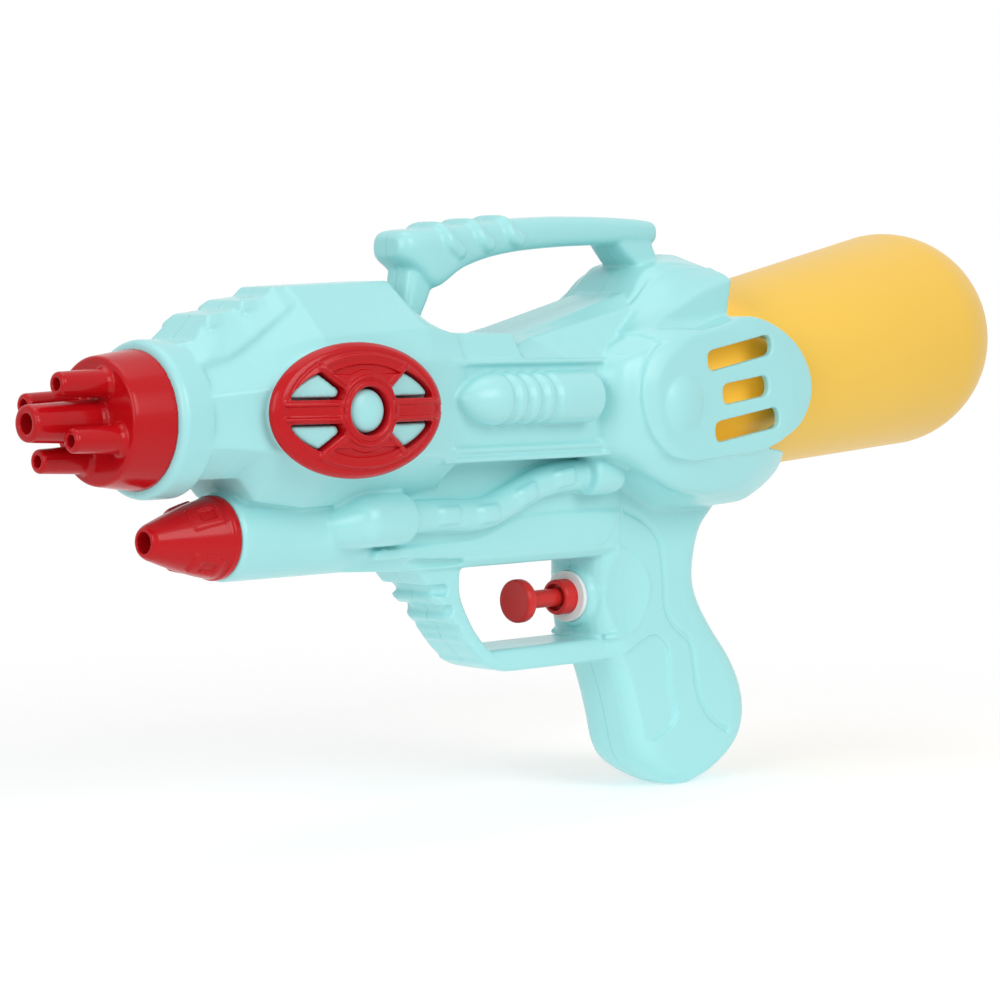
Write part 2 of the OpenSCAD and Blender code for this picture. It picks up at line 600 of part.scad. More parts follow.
module emblem_seat() {
  on_emblem() {
    side_plate(-6, 0) oval(1.2);
    intersection() {
      side_plate(-1, 12) windows(pad_gap);
      crown(-pad_drop, 40);
    }
    intersection() {
      side_plate(-1, 12) circle(hub_r - pad_gap, $fn = 40);
      crown(-0.3, 40);
    }
  }
}
module left_details() {
  bullet();
  pod();
  pipe();
  side_lines();
  emblem_seat();
  difference() {
    intersection() {
      housing_form(-relief, hood_s);
      side_plate(10, far) cheek_shape();
    }
    housing_form(wall, hood_s + 2);
  }
  dome_ball = (dome_r * dome_r + dome_rise * dome_rise) / (2 * dome_rise);
  translate([dome_x, -housing_y - relief - dome_rise + dome_ball, dome_z]) intersection() {
    rotate([90, 0, 0]) sphere(dome_ball, $fn = 40);
    rotate([90, 0, 0]) cylinder(r = dome_r + 3, h = dome_ball, $fn = 24);
  }
}
module stroke(route, r) {
  for (i = [0 : len(route) - 2]) hull() for (p = [route[i], route[i + 1]]) translate(p) circle(r, $fn = 6);
}
module left_grooves() {
  side_plate(grip_y - 1, far) offset(r = 3, $fn = 24) offset(delta = -3) polygon(scallop);
  side_plate(grip_y - 0.8, far) offset(r = 4, $fn = 24) offset(delta = -4) polygon(palm);
  side_plate(grip_y - 0.8, far) intersection() {
    stroke(palm_line, groove_w / 2);
    translate([140, -70]) square([60, 69]);
  }
  for (s = slots) side_plate(15, far) translate([s[0], s[1]]) rotate(s[3]) offset(r = slot_w / 2 - 0.3, $fn = 20)
    square([s[2] - slot_w, 0.6], center = true);
}
module left_half() { translate([-far, -2 * far, -2 * far]) cube([6 * far, 2 * far, 4 * far]); }

module pin_bosses(r) {
  for (p = pins) translate([p[0], 0, p[1]]) rotate([90, 0, 0]) cylinder(r = r, h = far, $fn = 20);
}
// Ribs inside the left half that carry the pump, the valve, the socket and the hose
module ribs() {
  intersection() {
    body_form(wall / 2);
    pin_bosses(pin_r + 1.8);
  }
  difference() {
    intersection() {
      grip_form(wall / 2);
      for (x = [pump_x + 8, web_x + 2]) translate([x, -far, pump_z - 12]) cube([2, far, 24]);
    }
    rod_x(pump_x, 60, pump_r + seat_gap, pump_z, fn = 32);
  }
  difference() {
    for (x = [valve_x + 3, valve_x + 11]) intersection() {
      rod_x(x, 2, barrel_r - wall / 2, fn = 24);
      left_half();
    }
    rod_x(valve_x - 1, valve_len + 2, valve_r + seat_gap, fn = 24);
  }
  difference() {
    intersection() {
      union() {
        loft(upper_body, wall / 2);
        intersection() {
          housing_form(wall / 2, hood_s);
          hood_keep(wall / 2);
        }
      }
      on_tank_axis() translate([0, 0, socket_front_s + 3]) cylinder(r = far, h = 2, $fn = 12);
      translate([0, -far, 15]) cube(2 * far);
      left_half();
    }
    on_tank_axis() translate([0, 0, socket_front_s]) cylinder(r = socket_r + socket_wall + seat_gap, h = 30, $fn = 32);
  }
  difference() {
    intersection() {
      loft(keel, wall / 2);
      for (x = [86, 118]) translate([x, -far, keel_bottom_z]) cube([2, far, 1 - keel_bottom_z]);
    }
    rod_x(80, 60, hose_r + seat_gap, fn = 16);
  }
}
module shell_half() {
  difference() {
    union() {
      intersection() {
        union() {
          body_form(0);
          intersection() {
            housing_form(0, hood_s);
            side_plate(-far, far) polygon(rim_outline);
            hood_keep(0);
          }
          guard_form();
          handle_ribs();
          handle_neck();
          handle_heel();
          wedge_form();
          rod_x(ring_x, body_front_x - ring_x + 1, ring_r, muzzle_z, fn = 48);
          rod_x(boss_x, 6, pump_r + 1.3, pump_z, fn = 32);
        }
        left_half();
      }
      intersection() {
        left_details();
        left_half();
      }
    }
    body_form(wall);
    intersection() {
      housing_form(wall, hood_s + 2);
      hood_keep(wall);
    }
    rod_x(ring_x - 1, 12, drum_spigot_r + seat_gap, muzzle_z, fn = 48);
    rod_x(boss_x - 1, 12, pump_r + seat_gap, pump_z, fn = 32);
    on_tank_axis() translate([0, 0, socket_front_s - run_gap]) cylinder(r = socket_r + socket_wall + seat_gap,
      h = run_gap - socket_front_s, $fn = 48);
    left_grooves();
  }
  difference() {
    ribs();
    translate([-far, 0, -2 * far]) cube([6 * far, far, 4 * far]);
  }
}

module left_shell() {
  color(mint) {
    shell_half();
    intersection() {
      body_form(wall / 2);
      for (p = pins) translate([p[0], pin_len, p[1]]) rotate([90, 0, 0]) cylinder(r = pin_r, h = pin_len + 2, $fn = 20);
    }
  }
}
module right_shell() {
  color(mint) difference() {
    mirror([0, 1, 0]) shell_half();
    for (p = pins) translate([p[0], pin_len + 0.4, p[1]]) rotate([90, 0, 0])
      cylinder(r = pin_r + seat_gap, h = pin_len + 2, $fn = 20);
  }
}

module muzzle_cluster() {
  face_x = ring_x - drum_len;
  color(red) difference() {
    union() {
      translate([ring_x, 0, muzzle_z]) rotate([0, -90, 0]) cylinder(h = drum_len, r1 = drum_r, r2 = drum_r - 1.6, $fn = 96);
      rod_x(ring_x - 1, drum_spigot_len + 1, drum_spigot_r, muzzle_z);
      translate([face_x + 1, 0, muzzle_z]) rotate([0, -90, 0])
        cylinder(h = centre_tube_len + 1, r1 = centre_tube_r + 0.9, r2 = centre_tube_r, $fn = 48);
      for (i = [0 : tube_count - 1]) rotate_tube(i) translate([face_x + 1, 0, 0]) rotate([0, -90, 0])
        cylinder(h = tube_len + 1, r1 = tube_r + 0.6, r2 = tube_r, $fn = 40);
    }
    rod_x(face_x - centre_tube_len - 1, 15, centre_tube_r - 1.9, muzzle_z, fn = 40);
    for (i = [0 : tube_count - 1]) rotate_tube(i) rod_x(face_x - tube_len - 1, 9, tube_r - 1.3, fn = 32);
    rod_x(ring_x + 2, 20, drum_spigot_r - wall, muzzle_z);
  }
}
module rotate_tube(i) {
  a = tube_start + 360 * i / tube_count;
  translate([0, -tube_circle_r * sin(a), muzzle_z + tube_circle_r * cos(a)]) children();
}
function ogive(u) = nozzle_tip_r + (nozzle_r - 0.4 - nozzle_tip_r) * (0.7 * u + 0.3 * sin(90 * u));
module nozzle_body(grow) {
  steps = 8;
  cone = nozzle_len - flange_t;
  rotate([0, 90, 0]) rotate_extrude($fn = 72)
    polygon(concat([[0, 0]], [for (i = [0 : steps]) [ogive(i / steps) + grow, cone * i / steps]], [[0, cone]]));
}
module water_nozzle() {
  color(red) difference() {
    union() {
      nozzle_body(0);
      rod_x(nozzle_len - flange_t, flange_t, nozzle_r);
      rod_x(nozzle_len - 1, spigot_len + 1, spigot_r);
      for (a = [45 : 90 : 315]) intersection() {
        nozzle_body(0.6);
        rotate([a, 0, 0]) translate([nozzle_len - flange_t - 8.5, -2.6, 0]) cube([7, 5.2, 12]);
      }
    }
    rod_x(-1, outlet_depth + 1, outlet_r);
    rod_x(outlet_depth - 1, 4, 1.2, fn = 32);
    rod_x(jet_x, 40, nozzle_bore_r);
  }
}
module jet_insert() {
  color(white) difference() {
    rod_x(jet_x, jet_t, nozzle_bore_r);
    rod_x(jet_x - 1, jet_t + 2, jet_r, fn = 32);
  }
}
module outlet_valve_body() {
  color(white) difference() {
    union() {
      rod_x(jet_x + jet_t, valve_x - jet_x - jet_t + 1, nozzle_bore_r);
      rod_x(valve_x, valve_len, valve_r);
    }
    rod_x(jet_x, 60, 1.5, fn = 32);
    rod_x(valve_chamber_x, 60, valve_chamber_r);
  }
}
module outlet_valve_seat() {
  color(white) difference() {
    union() {
      rod_x(outlet_seat_x, valve_cap_len, valve_r);
      rod_x(outlet_seat_x + 1, valve_end_x - outlet_seat_x - 1, barb_r, fn = 32);
    }
    rod_x(outlet_seat_x - 1, 40, bore_r, fn = 32);
  }
}
module outlet_ball() { color(steel) translate([outlet_ball_x, 0, 0]) sphere(ball_r, $fn = 48); }
module outlet_spring() {
  color(steel) translate([valve_chamber_x, 0, 0])
    coil(outlet_ball_x - ball_r - valve_chamber_x, 1.5, 0.25, 6, 10, 6);
}
module outlet_hose() { color(clear) hose(outlet_route, 3, hose_r, barb_r, 10); }
module inlet_hose() { color(clear) hose(inlet_route, 3, hose_r, barb_r, 10); }

module emblem() {
  color(red) on_emblem() difference() {
    union() {
      intersection() {
        side_plate(0, 20) oval(0);
        crown(0);
      }
      intersection() {
        side_plate(0.5, 20) {
          difference() {
            circle(hub_r + hub_ring, $fn = 64);
            circle(hub_r + 0.8, $fn = 64);
          }
          for (z = [-1.7, 1.7]) translate([-window_a, z - 0.7])
            square([2 * window_a, 1.4]);
        }
        crown(0.7);
      }
    }
    side_plate(-1, 20) {
      windows(0);
      circle(hub_r, $fn = 64);
    }
  }
}
module left_emblem() { emblem(); }
module right_emblem() { mirror([0, 1, 0]) emblem(); }

function tank_profile(in) = let (end = tank_len, r = tank_end_r - in, n = 12, flare = 6)
  concat([for (i = [0 : flare]) let (u = i / flare)
      [neck_r + (tank_r - neck_r) * sin(90 * u) - in, 2 + (shoulder_s - 2) * (1 - cos(90 * u)) + in * cos(45 * u)]],
    [for (i = [0 : n]) let (a = 90 * i / n) [max(r * cos(a), 0), end + r * sin(a)]]);
module tank() {
  color(orange) on_tank_axis() difference() {
    union() {
      rotate_extrude($fn = 96) polygon(concat([[0, neck_front_s], [neck_r, neck_front_s]], tank_profile(0)));
      thread(neck_r - 0.4, neck_r + thread_h, thread_s, thread_turns);
    }
    rotate_extrude($fn = 96) polygon(concat([[0, neck_front_s - 1], [neck_bore_r, neck_front_s - 1],
      [neck_bore_r, 3]], [for (p = tank_profile(tank_wall)) if (p[0] > neck_bore_r || p[1] > tank_len / 2) p]));
  }
}
module tank_gasket() {
  color(rubber) on_tank_axis() translate([0, 0, socket_floor_s]) difference() {
    cylinder(h = gasket_t, r = neck_r, $fn = round_fn);
    translate([0, 0, -1]) cylinder(h = gasket_t + 2, r = neck_bore_r - 1.5, $fn = round_fn);
  }
}
module tank_socket() {
  color(white) on_tank_axis() {
    difference() {
      union() {
        translate([0, 0, socket_front_s]) cylinder(h = -socket_front_s, r = socket_r + socket_wall, $fn = round_fn);
        translate([0, 0, socket_front_s - socket_barb_len]) cylinder(h = socket_barb_len + 1, r = barb_r, $fn = 32);
      }
      translate([0, 0, socket_floor_s]) cylinder(h = far, r = socket_r, $fn = round_fn);
      translate([0, 0, socket_front_s - socket_barb_len - 1]) cylinder(h = far, r = bore_r, $fn = 32);
    }
    thread(socket_r + 0.4, neck_r + run_gap, thread_s + thread_pitch / 2, 1);
  }
}
module pickup_tube() {
  color(clear) on_tank_axis() hose([for (p = pickup_route) [p[0], 0, p[1]]], 3, hose_r - 0.3, bore_r, 10);
}

module pump_barrel() {
  color(white) difference() {
    union() {
      rod_x(pump_x, elbow_x - pump_x, pump_r, pump_z);
      translate([port_x, 0, pump_z + pump_r - 1]) cylinder(h = barb_len + 1, r = barb_r, $fn = 32);
    }
    rod_x(pump_x - 1, web_x - pump_x + 1, pump_bore_r, pump_z);
    translate([port_x, 0, pump_z]) cylinder(h = 30, r = bore_r, $fn = 32);
    for (a = [0 : 90 : 270]) translate([0, 2.6 * cos(a), 2.6 * sin(a)]) rod_x(web_x - 1, web_t + 2, 0.8, pump_z, fn = 24);
    rod_x(web_x + web_t, inlet_seat_x - web_x - web_t + 0.5, ball_chamber_r, pump_z);
    rod_x(inlet_seat_x, 20, plug_r, pump_z);
  }
}
module inlet_elbow() {
  color(white) difference() {
    union() {
      rod_x(inlet_seat_x, plug_len + 1, plug_r, pump_z);
      rod_x(elbow_x, elbow_len, pump_r, pump_z);
      translate([elbow_port_x, 0, pump_z]) cylinder(h = pump_r + barb_len, r = barb_r, $fn = 32);
    }
    rod_x(inlet_seat_x - 1, elbow_port_x - inlet_seat_x + 1, bore_r, pump_z, fn = 32);
    translate([elbow_port_x, 0, pump_z]) cylinder(h = 30, r = bore_r, $fn = 32);
  }
}
module inlet_ball() { color(steel) translate([inlet_ball_x, 0, pump_z]) sphere(ball_r, $fn = 48); }
module piston_cup() {
  color(rubber) difference() {
    rod_x(cup_x, cup_t, pump_bore_r - slide_gap, pump_z);
    rod_x(cup_x - 1, cup_t + 2, stud_r, pump_z, fn = 32);
  }
}
module return_spring() {
  color(steel) translate([cup_x + cup_t, 0, pump_z])
    coil(web_x - cup_x - cup_t, pump_bore_r - 1.2, spring_wire_r, 5, 12, 6);
}
module pump_collar() {
  color(red) difference() {
    rod_x(collar_x, pump_x - collar_x + collar_seat, pump_bore_r, pump_z);
    rod_x(collar_x - 1, 20, rod_r + slide_gap, pump_z);
  }
}
module trigger() {
  color(red) {
    translate([button_x, 0, pump_z]) rotate([0, 90, 0]) rotate_extrude($fn = round_fn)
      polygon([[0, 0.5], [button_r * 0.7, 0.2], [button_r - 0.8, 0], [button_r, 0.8], [button_r, button_t - 0.8],
               [button_r - 0.8, button_t], [0, button_t]]);
    rod_x(button_x + 1, head_x - button_x - 1, rod_r, pump_z);
    rod_x(head_x, head_t, pump_bore_r - run_gap, pump_z);
    rod_x(head_x, cup_x - head_x + cup_t, stud_r, pump_z, fn = 32);
  }
}

left_shell();
right_shell();
muzzle_cluster();
water_nozzle();
jet_insert();
outlet_valve_body();
outlet_valve_seat();
outlet_ball();
outlet_spring();
outlet_hose();
left_emblem();
right_emblem();
tank();
tank_gasket();
tank_socket();
pickup_tube();
inlet_hose();
inlet_elbow();
inlet_ball();
pump_barrel();
piston_cup();
return_spring();
pump_collar();
trigger();
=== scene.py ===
import bmesh
import bpy
import json
from math import cos, sin, tan, pi, radians, sqrt
from mathutils import Matrix, Vector


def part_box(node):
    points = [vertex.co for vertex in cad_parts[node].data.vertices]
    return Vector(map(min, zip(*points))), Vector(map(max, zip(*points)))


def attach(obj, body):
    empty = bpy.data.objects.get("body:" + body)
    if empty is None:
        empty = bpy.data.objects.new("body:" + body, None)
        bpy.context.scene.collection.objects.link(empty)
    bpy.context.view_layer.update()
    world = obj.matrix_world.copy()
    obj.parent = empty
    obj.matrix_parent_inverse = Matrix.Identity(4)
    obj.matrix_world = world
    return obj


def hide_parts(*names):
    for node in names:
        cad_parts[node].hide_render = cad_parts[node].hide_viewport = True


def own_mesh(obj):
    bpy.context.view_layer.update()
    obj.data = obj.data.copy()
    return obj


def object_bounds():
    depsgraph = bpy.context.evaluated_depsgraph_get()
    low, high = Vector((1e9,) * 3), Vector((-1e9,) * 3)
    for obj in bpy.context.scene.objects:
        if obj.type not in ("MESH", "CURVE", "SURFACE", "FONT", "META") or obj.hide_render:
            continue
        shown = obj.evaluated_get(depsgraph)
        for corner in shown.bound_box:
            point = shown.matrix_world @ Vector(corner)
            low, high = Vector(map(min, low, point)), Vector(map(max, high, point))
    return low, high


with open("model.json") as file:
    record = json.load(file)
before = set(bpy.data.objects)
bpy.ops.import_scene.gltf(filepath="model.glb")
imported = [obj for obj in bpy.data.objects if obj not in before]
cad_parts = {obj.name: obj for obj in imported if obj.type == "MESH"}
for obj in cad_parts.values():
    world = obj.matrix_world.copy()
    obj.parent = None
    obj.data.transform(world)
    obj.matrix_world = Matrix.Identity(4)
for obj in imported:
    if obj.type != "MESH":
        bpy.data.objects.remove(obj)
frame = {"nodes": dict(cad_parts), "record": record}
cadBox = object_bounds()
mm = 0.001
print("frame loaded,", len(frame["nodes"]), "nodes")


# Nothing selected, and out of edit mode
def calm():
    active = bpy.context.view_layer.objects.active
    if active is not None and active.mode != "OBJECT":
        bpy.ops.object.mode_set(mode="OBJECT")
    bpy.ops.object.select_all(action="DESELECT")


def hold(*objs):
    calm()
    for obj in objs:
        obj.select_set(True)
    bpy.context.view_layer.objects.active = objs[0]
    return objs[0]


def editAll(obj):
    hold(obj)
    bpy.ops.object.mode_set(mode="EDIT")
    bpy.ops.mesh.select_all(action="SELECT")


def finishMesh(obj):
    editAll(obj)
    bpy.ops.mesh.normals_make_consistent(inside=False)
    bpy.ops.object.mode_set(mode="OBJECT")
    return obj


# One modifier, set and applied
def applied(obj, kind, **settings):
    hold(obj)
    mod = obj.modifiers.new(kind.lower(), kind)
    for key, value in settings.items():
        setattr(mod, key, value)
    bpy.ops.object.modifier_apply(modifier=mod.name)
    return obj


def drop(obj):
    bpy.data.objects.remove(obj, do_unlink=True)


def joined(name, objs):
    hold(*objs)
    bpy.ops.object.join()
    obj = bpy.context.object
    obj.name = obj.data.name = name
    return obj


def cut(obj, cutter, operation="DIFFERENCE"):
    applied(obj, "BOOLEAN", operation=operation, object=cutter, solver="MANIFOLD")
    drop(cutter)
    return obj


def voxel(obj, size):
    return applied(obj, "REMESH", mode="VOXEL", voxel_size=size * mm, use_smooth_shade=True)


def soften(obj, times, factor=0.5):
    return applied(obj, "SMOOTH", factor=factor, iterations=times)


def thin(obj, most):
    count = sum(len(p.vertices) - 2 for p in obj.data.polygons)
    if count > most:
        applied(obj, "DECIMATE", ratio=most / count, use_collapse_triangulate=True)
    return obj


def shaded(obj, degrees=40):
    hold(obj)
    bpy.ops.object.shade_smooth_by_angle(angle=radians(degrees))
    return obj


# One loop of points is filled and pushed on from ring to ring, all in millimetres
def loft(name, rings):
    calm()
    bpy.ops.mesh.primitive_circle_add(vertices=len(rings[0]), radius=1, fill_type="NOTHING")
    obj = bpy.context.object
    obj.name = obj.data.name = name
    for vert, place in zip(obj.data.vertices, rings[0]):
        vert.co = Vector(place) * mm
    editAll(obj)
    bpy.ops.mesh.edge_face_add()
    for before, after in zip(rings, rings[1:]):
        bpy.ops.mesh.extrude_region_move()
        work = bmesh.from_edit_mesh(obj.data)
        order = {tuple(Vector(place) * mm): i for i, place in enumerate(before)}
        for vert in [v for v in work.verts if v.select]:
            vert.co = Vector(after[order[tuple(vert.co)]]) * mm
        bmesh.update_edit_mesh(obj.data)
    bpy.ops.object.mode_set(mode="OBJECT")
    return finishMesh(obj)


# A profile of (along, radius) spun about an axis
def turned(name, profile, origin, along=(1, 0, 0), count=64):
    along = Vector(along).normalized()
    side = along.orthogonal().normalized()
    up = along.cross(side)
    spokes = [side * cos(2 * pi * k / count) + up * sin(2 * pi * k / count) for k in range(count)]
    return loft(name, [[Vector(origin) + along * s + spoke * r for spoke in spokes] for s, r in profile])


# An outline in X and Z pushed from y0 to y1 out of the left side
def prism(name, outline, y0, y1):
    return loft(name, [[(x, -y, z) for x, z in outline] for y in (y0, y1)])


def block(name, low, high):
    return prism(name, [(low[0], low[2]), (high[0], low[2]), (high[0], high[2]), (low[0], high[2])],
                 -high[1], -low[1])


def ball(place, radius, shape=(1, 1, 1)):
    calm()
    bpy.ops.mesh.primitive_uv_sphere_add(segments=32, ring_count=16, radius=radius * mm, location=Vector(place) * mm)
    obj = bpy.context.object
    bpy.ops.transform.resize(value=shape, center_override=Vector(place) * mm)
    bpy.ops.object.transform_apply(location=True, rotation=True, scale=True)
    return obj


# Smooth run of values through a few keys
def between(keys, steps):
    run = []
    last = len(keys) - 1
    for i in range(last):
        quad = list(zip(keys[max(i - 1, 0)], keys[i], keys[i + 1], keys[min(i + 2, last)]))
        for k in range(steps):
            t = k / steps
            run.append(tuple(0.5 * (2 * b + (c - a) * t + (2 * a - 5 * b + 4 * c - d) * t * t
                                    + (3 * b - a - 3 * c + d) * t ** 3) for a, b, c, d in quad))
    return run + [tuple(keys[-1])]


# An outline with its corners eased
def rounded(points, radius, steps=5):
    soft = []
    for i, here in enumerate(points):
        here = Vector(here)
        toA, toB = Vector(points[i - 1]) - here, Vector(points[(i + 1) % len(points)]) - here
        back = min(radius / tan(toA.angle(toB) / 2), 0.48 * toA.length, 0.48 * toB.length)
        start, end = here + toA.normalized() * back, here + toB.normalized() * back
        for k in range(steps + 1):
            t = k / steps
            soft.append(tuple(start * (1 - t) ** 2 + here * 2 * t * (1 - t) + end * t * t))
    return soft


def softBox(x0, x1, z0, z1, radius, steps=5):
    return rounded([(x0, z0), (x1, z0), (x1, z1), (x0, z1)], radius, steps)


def turnedBox(x, z, long, high, slant, radius):
    spin = Matrix.Rotation(radians(slant), 2)
    return [tuple(spin @ Vector(p) + Vector((x, z))) for p in softBox(-long / 2, long / 2, -high / 2, high / 2, radius)]


# An outline moved inwards, or outwards for a depth below zero
def inset(points, depth):
    area = sum(a[0] * b[1] - b[0] * a[1] for a, b in zip(points, points[1:] + points[:1]))
    turn = 1 if area > 0 else -1
    moved = []
    for i, here in enumerate(points):
        here = Vector(here)
        inn = (here - Vector(points[i - 1])).normalized()
        out = (Vector(points[(i + 1) % len(points)]) - here).normalized()
        normal = Vector((-inn.y - out.y, inn.x + out.x)) * turn
        moved.append(tuple(here + normal * depth / max(1 + inn.dot(out), 0.35)))
    return moved


# How far an outline lies from a centre, in one direction
def reach(outline, centre, angle):
    dx, dz = cos(angle), sin(angle)
    best = 0
    for (x0, z0), (x1, z1) in zip(outline, outline[1:] + outline[:1]):
        ex, ez, wx, wz = x1 - x0, z1 - z0, x0 - centre[0], z0 - centre[1]
        slope = dx * ez - dz * ex
        if abs(slope) > 1e-9:
            share = (wx * dz - wz * dx) / slope
            if -1e-6 <= share <= 1 + 1e-6:
                best = max(best, (wx * ez - wz * ex) / slope)
    return best


def bothSides(half):
    return [(-y, z) for y, z in half] + [(y, z) for y, z in reversed(half)]


# Straight steps between sections keep a twisted face even
def loftX(name, sections, wall=0, steps=5):
    rings = []
    for (x0, a), (x1, b) in zip(sections, sections[1:]):
        for k in range(steps if (x1, b) != sections[-1] else steps + 1):
            t = k / steps
            half = [(p[0] + (q[0] - p[0]) * t, p[1] + (q[1] - p[1]) * t) for p, q in zip(a, b)]
            line = inset(bothSides(half), wall) if wall else bothSides(half)
            rings.append([(x0 + (x1 - x0) * t, y, z) for y, z in line])
    return loft(name, rings)


# A round bar along a route
def sweep(name, route, radius, count=16, out=(0, 0, 1)):
    points = [Vector(p) for p in route]
    rings = []
    for i, place in enumerate(points):
        ahead = (points[min(i + 1, len(points) - 1)] - points[max(i - 1, 0)]).normalized()
        side = ahead.cross(Vector(out)).normalized()
        up = side.cross(ahead)
        rings.append([place + side * radius * cos(2 * pi * k / count) + up * radius * sin(2 * pi * k / count)
                      for k in range(count)])
    return loft(name, rings)


def mirrorCopy(obj, name):
    hold(obj)
    bpy.ops.object.duplicate()
    twin = bpy.context.object
    twin.name = twin.data.name = name
    bpy.ops.transform.resize(value=(1, -1, 1), center_override=(0, 0, 0))
    bpy.ops.object.transform_apply(location=True, rotation=True, scale=True)
    return finishMesh(twin)


# Hollow clamshell body; every size in millimetres, in the frame of the part
body = {
    "wall": 2.0,
    "shield": [(4, [(7, 44.7), (12, 39), (17, 33.2), (17, 22.2), (9, 14.1)]),
               (19, [(8.5, 47.5), (14.2, 41), (20, 34.5), (20, 20.8), (10.5, 14.2)]),
               (24, [(8, 50), (14.4, 43), (20.8, 35.8), (20.8, 20.4), (10.5, 8.6)]),
               (38, [(6.5, 58), (19, 46), (22.6, 38.5), (22.6, 19.5), (11, 6.5)]),
               (69, [(6.5, 59.4), (20, 48.5), (23, 40.5), (21.9, 18), (10, 7)]),
               (80, [(6.5, 47.4), (19, 46.8), (22, 40.4), (21.5, 17.6), (10, 8)])],
    "upper": [(74, [(9, 46.8), (18, 46.8), (21.5, 40), (21.5, 15.8)]),
              (100, [(9, 46.8), (18, 46.8), (21.5, 40), (21.5, 15.8)]),
              (101, [(13, 44.2), (17, 43.4), (21.5, 40), (21.5, 15.8)]),
              (110, [(9, 46.2), (14, 45.6), (21.5, 40), (21.5, 15.8)]),
              (144, [(8.3, 55.2), (14, 52.4), (21.5, 40), (21.5, 15.8)]),
              (154.4, [(8.3, 57.9), (13.5, 54.1), (21.5, 40), (21.5, 15.8)])],
    "keel": [(56, [(7, 24), (9, 20), (9, -4), (4.5, -10)]),
             (78, [(10.5, 24), (11.5, 20), (11.5, -8.5), (9.5, -10.8)]),
             (146, [(10.5, 24), (11.5, 20), (11.5, -8.5), (9.5, -10.8)])],
    "gripHalf": 11,
    "gripSoft": 8,
    "grip": [(8, 139.5, 193, 1), (0, 139.5, 187, 1), (-4.5, 139.5, 182.4, 1), (-10, 139.5, 180, 1),
             (-18, 139.5, 178.8, 1), (-25, 140, 181, 1), (-33, 141.8, 186.8, 1), (-40, 147.2, 193, 1),
             (-47, 150.2, 197.6, 1), (-55, 152.8, 200, 1), (-62, 154.8, 198.4, 1), (-67, 158, 194.4, 0.94),
             (-71.5, 165, 188, 0.82), (-74, 171, 182, 0.62)],
    "handleHalf": 7,
    "handle": [(74.6, 65.4, 69.8, 0.6), (76.4, 63.8, 71.4, 0.9), (80, 61.6, 72, 1.02), (86, 57.6, 72.4, 1.08),
               (96, 62.6, 73.4, 1.06), (110, 66.2, 74.8, 1), (128, 68.2, 76.1, 0.97), (150, 69.3, 76.38, 0.94),
               (164.6, 69.6, 75.8, 0.86), (166.8, 70.8, 74.4, 0.6)],
    "neck": [(66, 79, 88.5), (57, 77.5, 86), (52, 76, 83.4), (46, 74, 80.5)],
    "heel": [(71.4, 149, 165, 5.6), (66, 155, 167, 6.4), (63, 158.6, 169, 7), (59, 160, 171, 7.6)],
    "ribs": [(88.3, 92, 66.8), (99.3, 102.4, 68.6), (110, 113.2, 70)],
    "ribR": 2.1, "ribFrom": 86, "ribTop": (71.7, 0.096), "ribHalf": (7.6, 0.022),
    "wedge": [(3.4, [(8, 40.4), (13, 39.8), (13, 34)]), (8.5, [(8.2, 45.4), (13.3, 41.6), (13.3, 36)]),
              (14, [(5.8, 51.4), (13.4, 42.2), (13.4, 37)]), (22, [(6, 52.6), (12.4, 46), (12.4, 40)]),
              (24, [(5.6, 54.6), (12.2, 47.3), (12.2, 42)]), (31.5, [(6, 55.6), (11.2, 51.3), (11.2, 46)]),
              (33.5, [(5.6, 57.8), (11, 52.5), (11, 47)]), (40, [(6, 58), (9, 56), (9, 50)]),
              (46, [(6, 57.6), (6.6, 57), (6.6, 52)])],
    "wedgePads": [(14.4, 50, 6.9), (24.6, 53.7, 6.5)], "padBox": (5, 3, 12, 0.5), "padRise": 0.6,
    "padLean": (0.83, 0.77, 0.64),
    "muzzleZ": 27.7, "ringX": -2.4, "ringR": 18.1, "spigotR": 13.1,
    "barrelX": 20.8, "barrelR": 10.4,
    "pumpZ": -21.6, "bossX": 138.7, "bossR": 7.9, "bossHole": 6.7,
}
guard = {
    "half": 8.5,
    "front": [(-8, 74, 93), (-12, 77.6, 92), (-17.5, 83, 92), (-23, 88.3, 94.6), (-28, 92.8, 98),
              (-32.5, 97, 103), (-35.6, 101.6, 107), (-37.4, 106, 110)],
    "bar": [(99.6, -35.2), (103, -36.8), (107, -37.7), (113, -38.2), (152, -38.2)],
    "barTop": -32.2,
    "slots": [(-15.9, 87.2), (-21.2, 89.1), (-26.4, 91.8)], "slotHigh": 2.7, "slotDeep": 1.6,
    "bumps": (-17.9, -23.1, -28.5),
    "topSlot": [(71, -8.6), (74, -7.4), (89.6, -8.3), (90.4, -9.2), (89.6, -9.9), (73, -9.7)],
}
